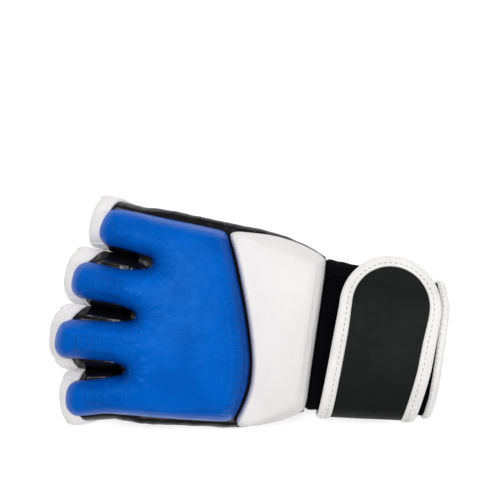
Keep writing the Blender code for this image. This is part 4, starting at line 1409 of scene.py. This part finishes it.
def make_strap_band(region, panel_rows, edge_points, seed):
    """The anchor or the flap: its panel, and the tape and stitches along its two edges."""
    rows = []
    for share in np.linspace(0, 1, panel_rows):
        ends = [band_point(PANEL_INSET, side, region, share, PANEL_HEIGHT)[0] for side in ("front", "back")]
        x = np.linspace(*ends, STRAP_STATIONS)
        degrees = band_degrees(region, share, x, PANEL_HEIGHT)
        rows.append(wrist_point(x, degrees, strap_lift(degrees) + PANEL_HEIGHT))
    make_strap_panel(region, np.array(rows))
    shares = np.linspace(0, 1, edge_points)
    swell = 0.1 * waver(edge_points, 6.0, seed, False)
    for side in ("front", "back"):
        make_strap_edging(
            f"strap_{region}_{side}", lambda inset, height: band_point(inset, side, region, shares, height),
            swell, strap_blend(region),
        )


def make_strap_tip():
    outline = tip_line(PANEL_INSET, PANEL_HEIGHT)
    half = len(outline) // 2
    grid = np.linspace(outline[:half], outline[::-1][:half], STRAP_STATIONS, axis=1)
    grid[..., 2] = tip_height(grid[..., 0], grid[..., 1], STRAP_LIFT + PANEL_HEIGHT)
    make_strap_panel("tip", grid)
    make_strap_edging("strap_tip", tip_line, 0.1 * waver(len(outline), 6.0, 53.0, False), strap_blend("tip"))


HOOK_END = 33
HOOK_INSET = 9
HOOK_ROUNDING = 22, 29  # where the hook patch starts to narrow, and the ellipse's half length from there


def make_hook_patch():
    rows = []
    for y in np.linspace(PEEL_Y + 3, HOOK_END, 30):
        front, back = strap_edges(y)
        round_end = math.sqrt(1 - (max(0.0, y - HOOK_ROUNDING[0]) / HOOK_ROUNDING[1]) ** 2)
        middle, wide = (front + back) / 2, ((back - front) / 2 - HOOK_INSET) * round_end
        x = np.linspace(middle - wide, middle + wide, 40)
        rows.append(np.stack([x, y + 0 * x, tip_height(x, y, STRAP_LIFT - 0.35)], axis=-1))
    grid = np.array(rows)
    made = make_shell("hook_patch", grid, outward_normals(grid, np.array([X_STRAP, 15.0, 0.0])), 0.7, HOOKS)
    finish_piece(made, ["strap_hook_patch"], strap_blend("tip"))


make_palm()
for finger_name in FINGERS:
    make_sleeve(finger_name)
    make_mouth_tape(finger_name)
for low_finger, high_finger in zip(list(FINGERS), list(FINGERS)[1:]):
    make_web(low_finger, high_finger)
make_hand_lining()
make_piping()
for opening in ("palm", "thumb"):
    make_opening_tape(opening)
make_cuff()
make_pile_patch()
make_cuff_tape()
make_strap_band("anchor", 60, 90, 50.0)
make_strap_band("flap", 40, 60, 51.0)
make_strap_tip()
make_hook_patch()
tape_stitches = make_stitches("tape_stitches", STITCH_PATHS, 0.2, 1.7, 1.0, GREY_THREAD)
finish_piece(tape_stitches)


# ---- camera, floor and light ----------------------------------------------------------------------------
# name, place in metres, side in metres, watts
LIGHTS = (
    ("overhead", (-0.08, 0.16, 1.5), 0.45, 11.5),
    ("key", (-1.1, 0.8, 1.3), 0.6, 5.5),
    ("right", (1.4, 0.3, 1.2), 0.6, 8.0),
    ("near", (0.1, -1.5, 1.3), 0.6, 4.5),
    ("far", (-0.3, 1.6, 1.0), 0.35, 3.0),
)
FLOOR_HALF = 3000.0


def make_stage():
    corners = [(FLOOR_HALF * x, FLOOR_HALF * y, 0.0) for x, y in ((-1, -1), (1, -1), (1, 1), (-1, 1))]
    pale, _, _ = start_material(
        "pale_floor", Base_Color=(0.66, 0.66, 0.66, 1), Roughness=0.9, Emission_Color=(1, 1, 1, 1),
        Emission_Strength=0.5,
    )
    make_mesh("floor", corners, [(0, 1, 2, 3)], pale)
    world = bpy.data.worlds.new("soft_white")
    bpy.context.scene.world = world
    world.use_nodes = True
    background = world.node_tree.nodes["Background"].inputs
    background["Color"].default_value = (1, 1, 1, 1)
    background["Strength"].default_value = 0.17
    for name, spot, size, energy in LIGHTS:
        data = bpy.data.lights.new(name, "AREA")
        data.size, data.energy = size, energy
        lamp = bpy.data.objects.new(name, data)
        lamp.location = spot
        lamp.rotation_euler = (Vector((0, 0, 0.03)) - Vector(spot)).to_track_quat("-Z", "Y").to_euler()
        bpy.context.scene.collection.objects.link(lamp)
    bpy.context.scene.view_settings.view_transform = "Standard"


VIEW_WIDTH = 0.280  # metres across the view at the height of the pads


def make_camera():
    data = bpy.data.cameras.new("camera")
    data.lens, data.sensor_width, data.clip_start = 100.0, 36.0, 0.01
    camera = bpy.data.objects.new("camera", data)
    x, y, z = place((-6.2, 42.7, 45.0))  # the middle of the view
    camera.location = (x, y, z + VIEW_WIDTH * data.lens / data.sensor_width)
    camera.rotation_euler = (0, 0, math.radians(8.2))
    bpy.context.scene.collection.objects.link(camera)
    bpy.context.scene.camera = camera


make_stage()
make_camera()
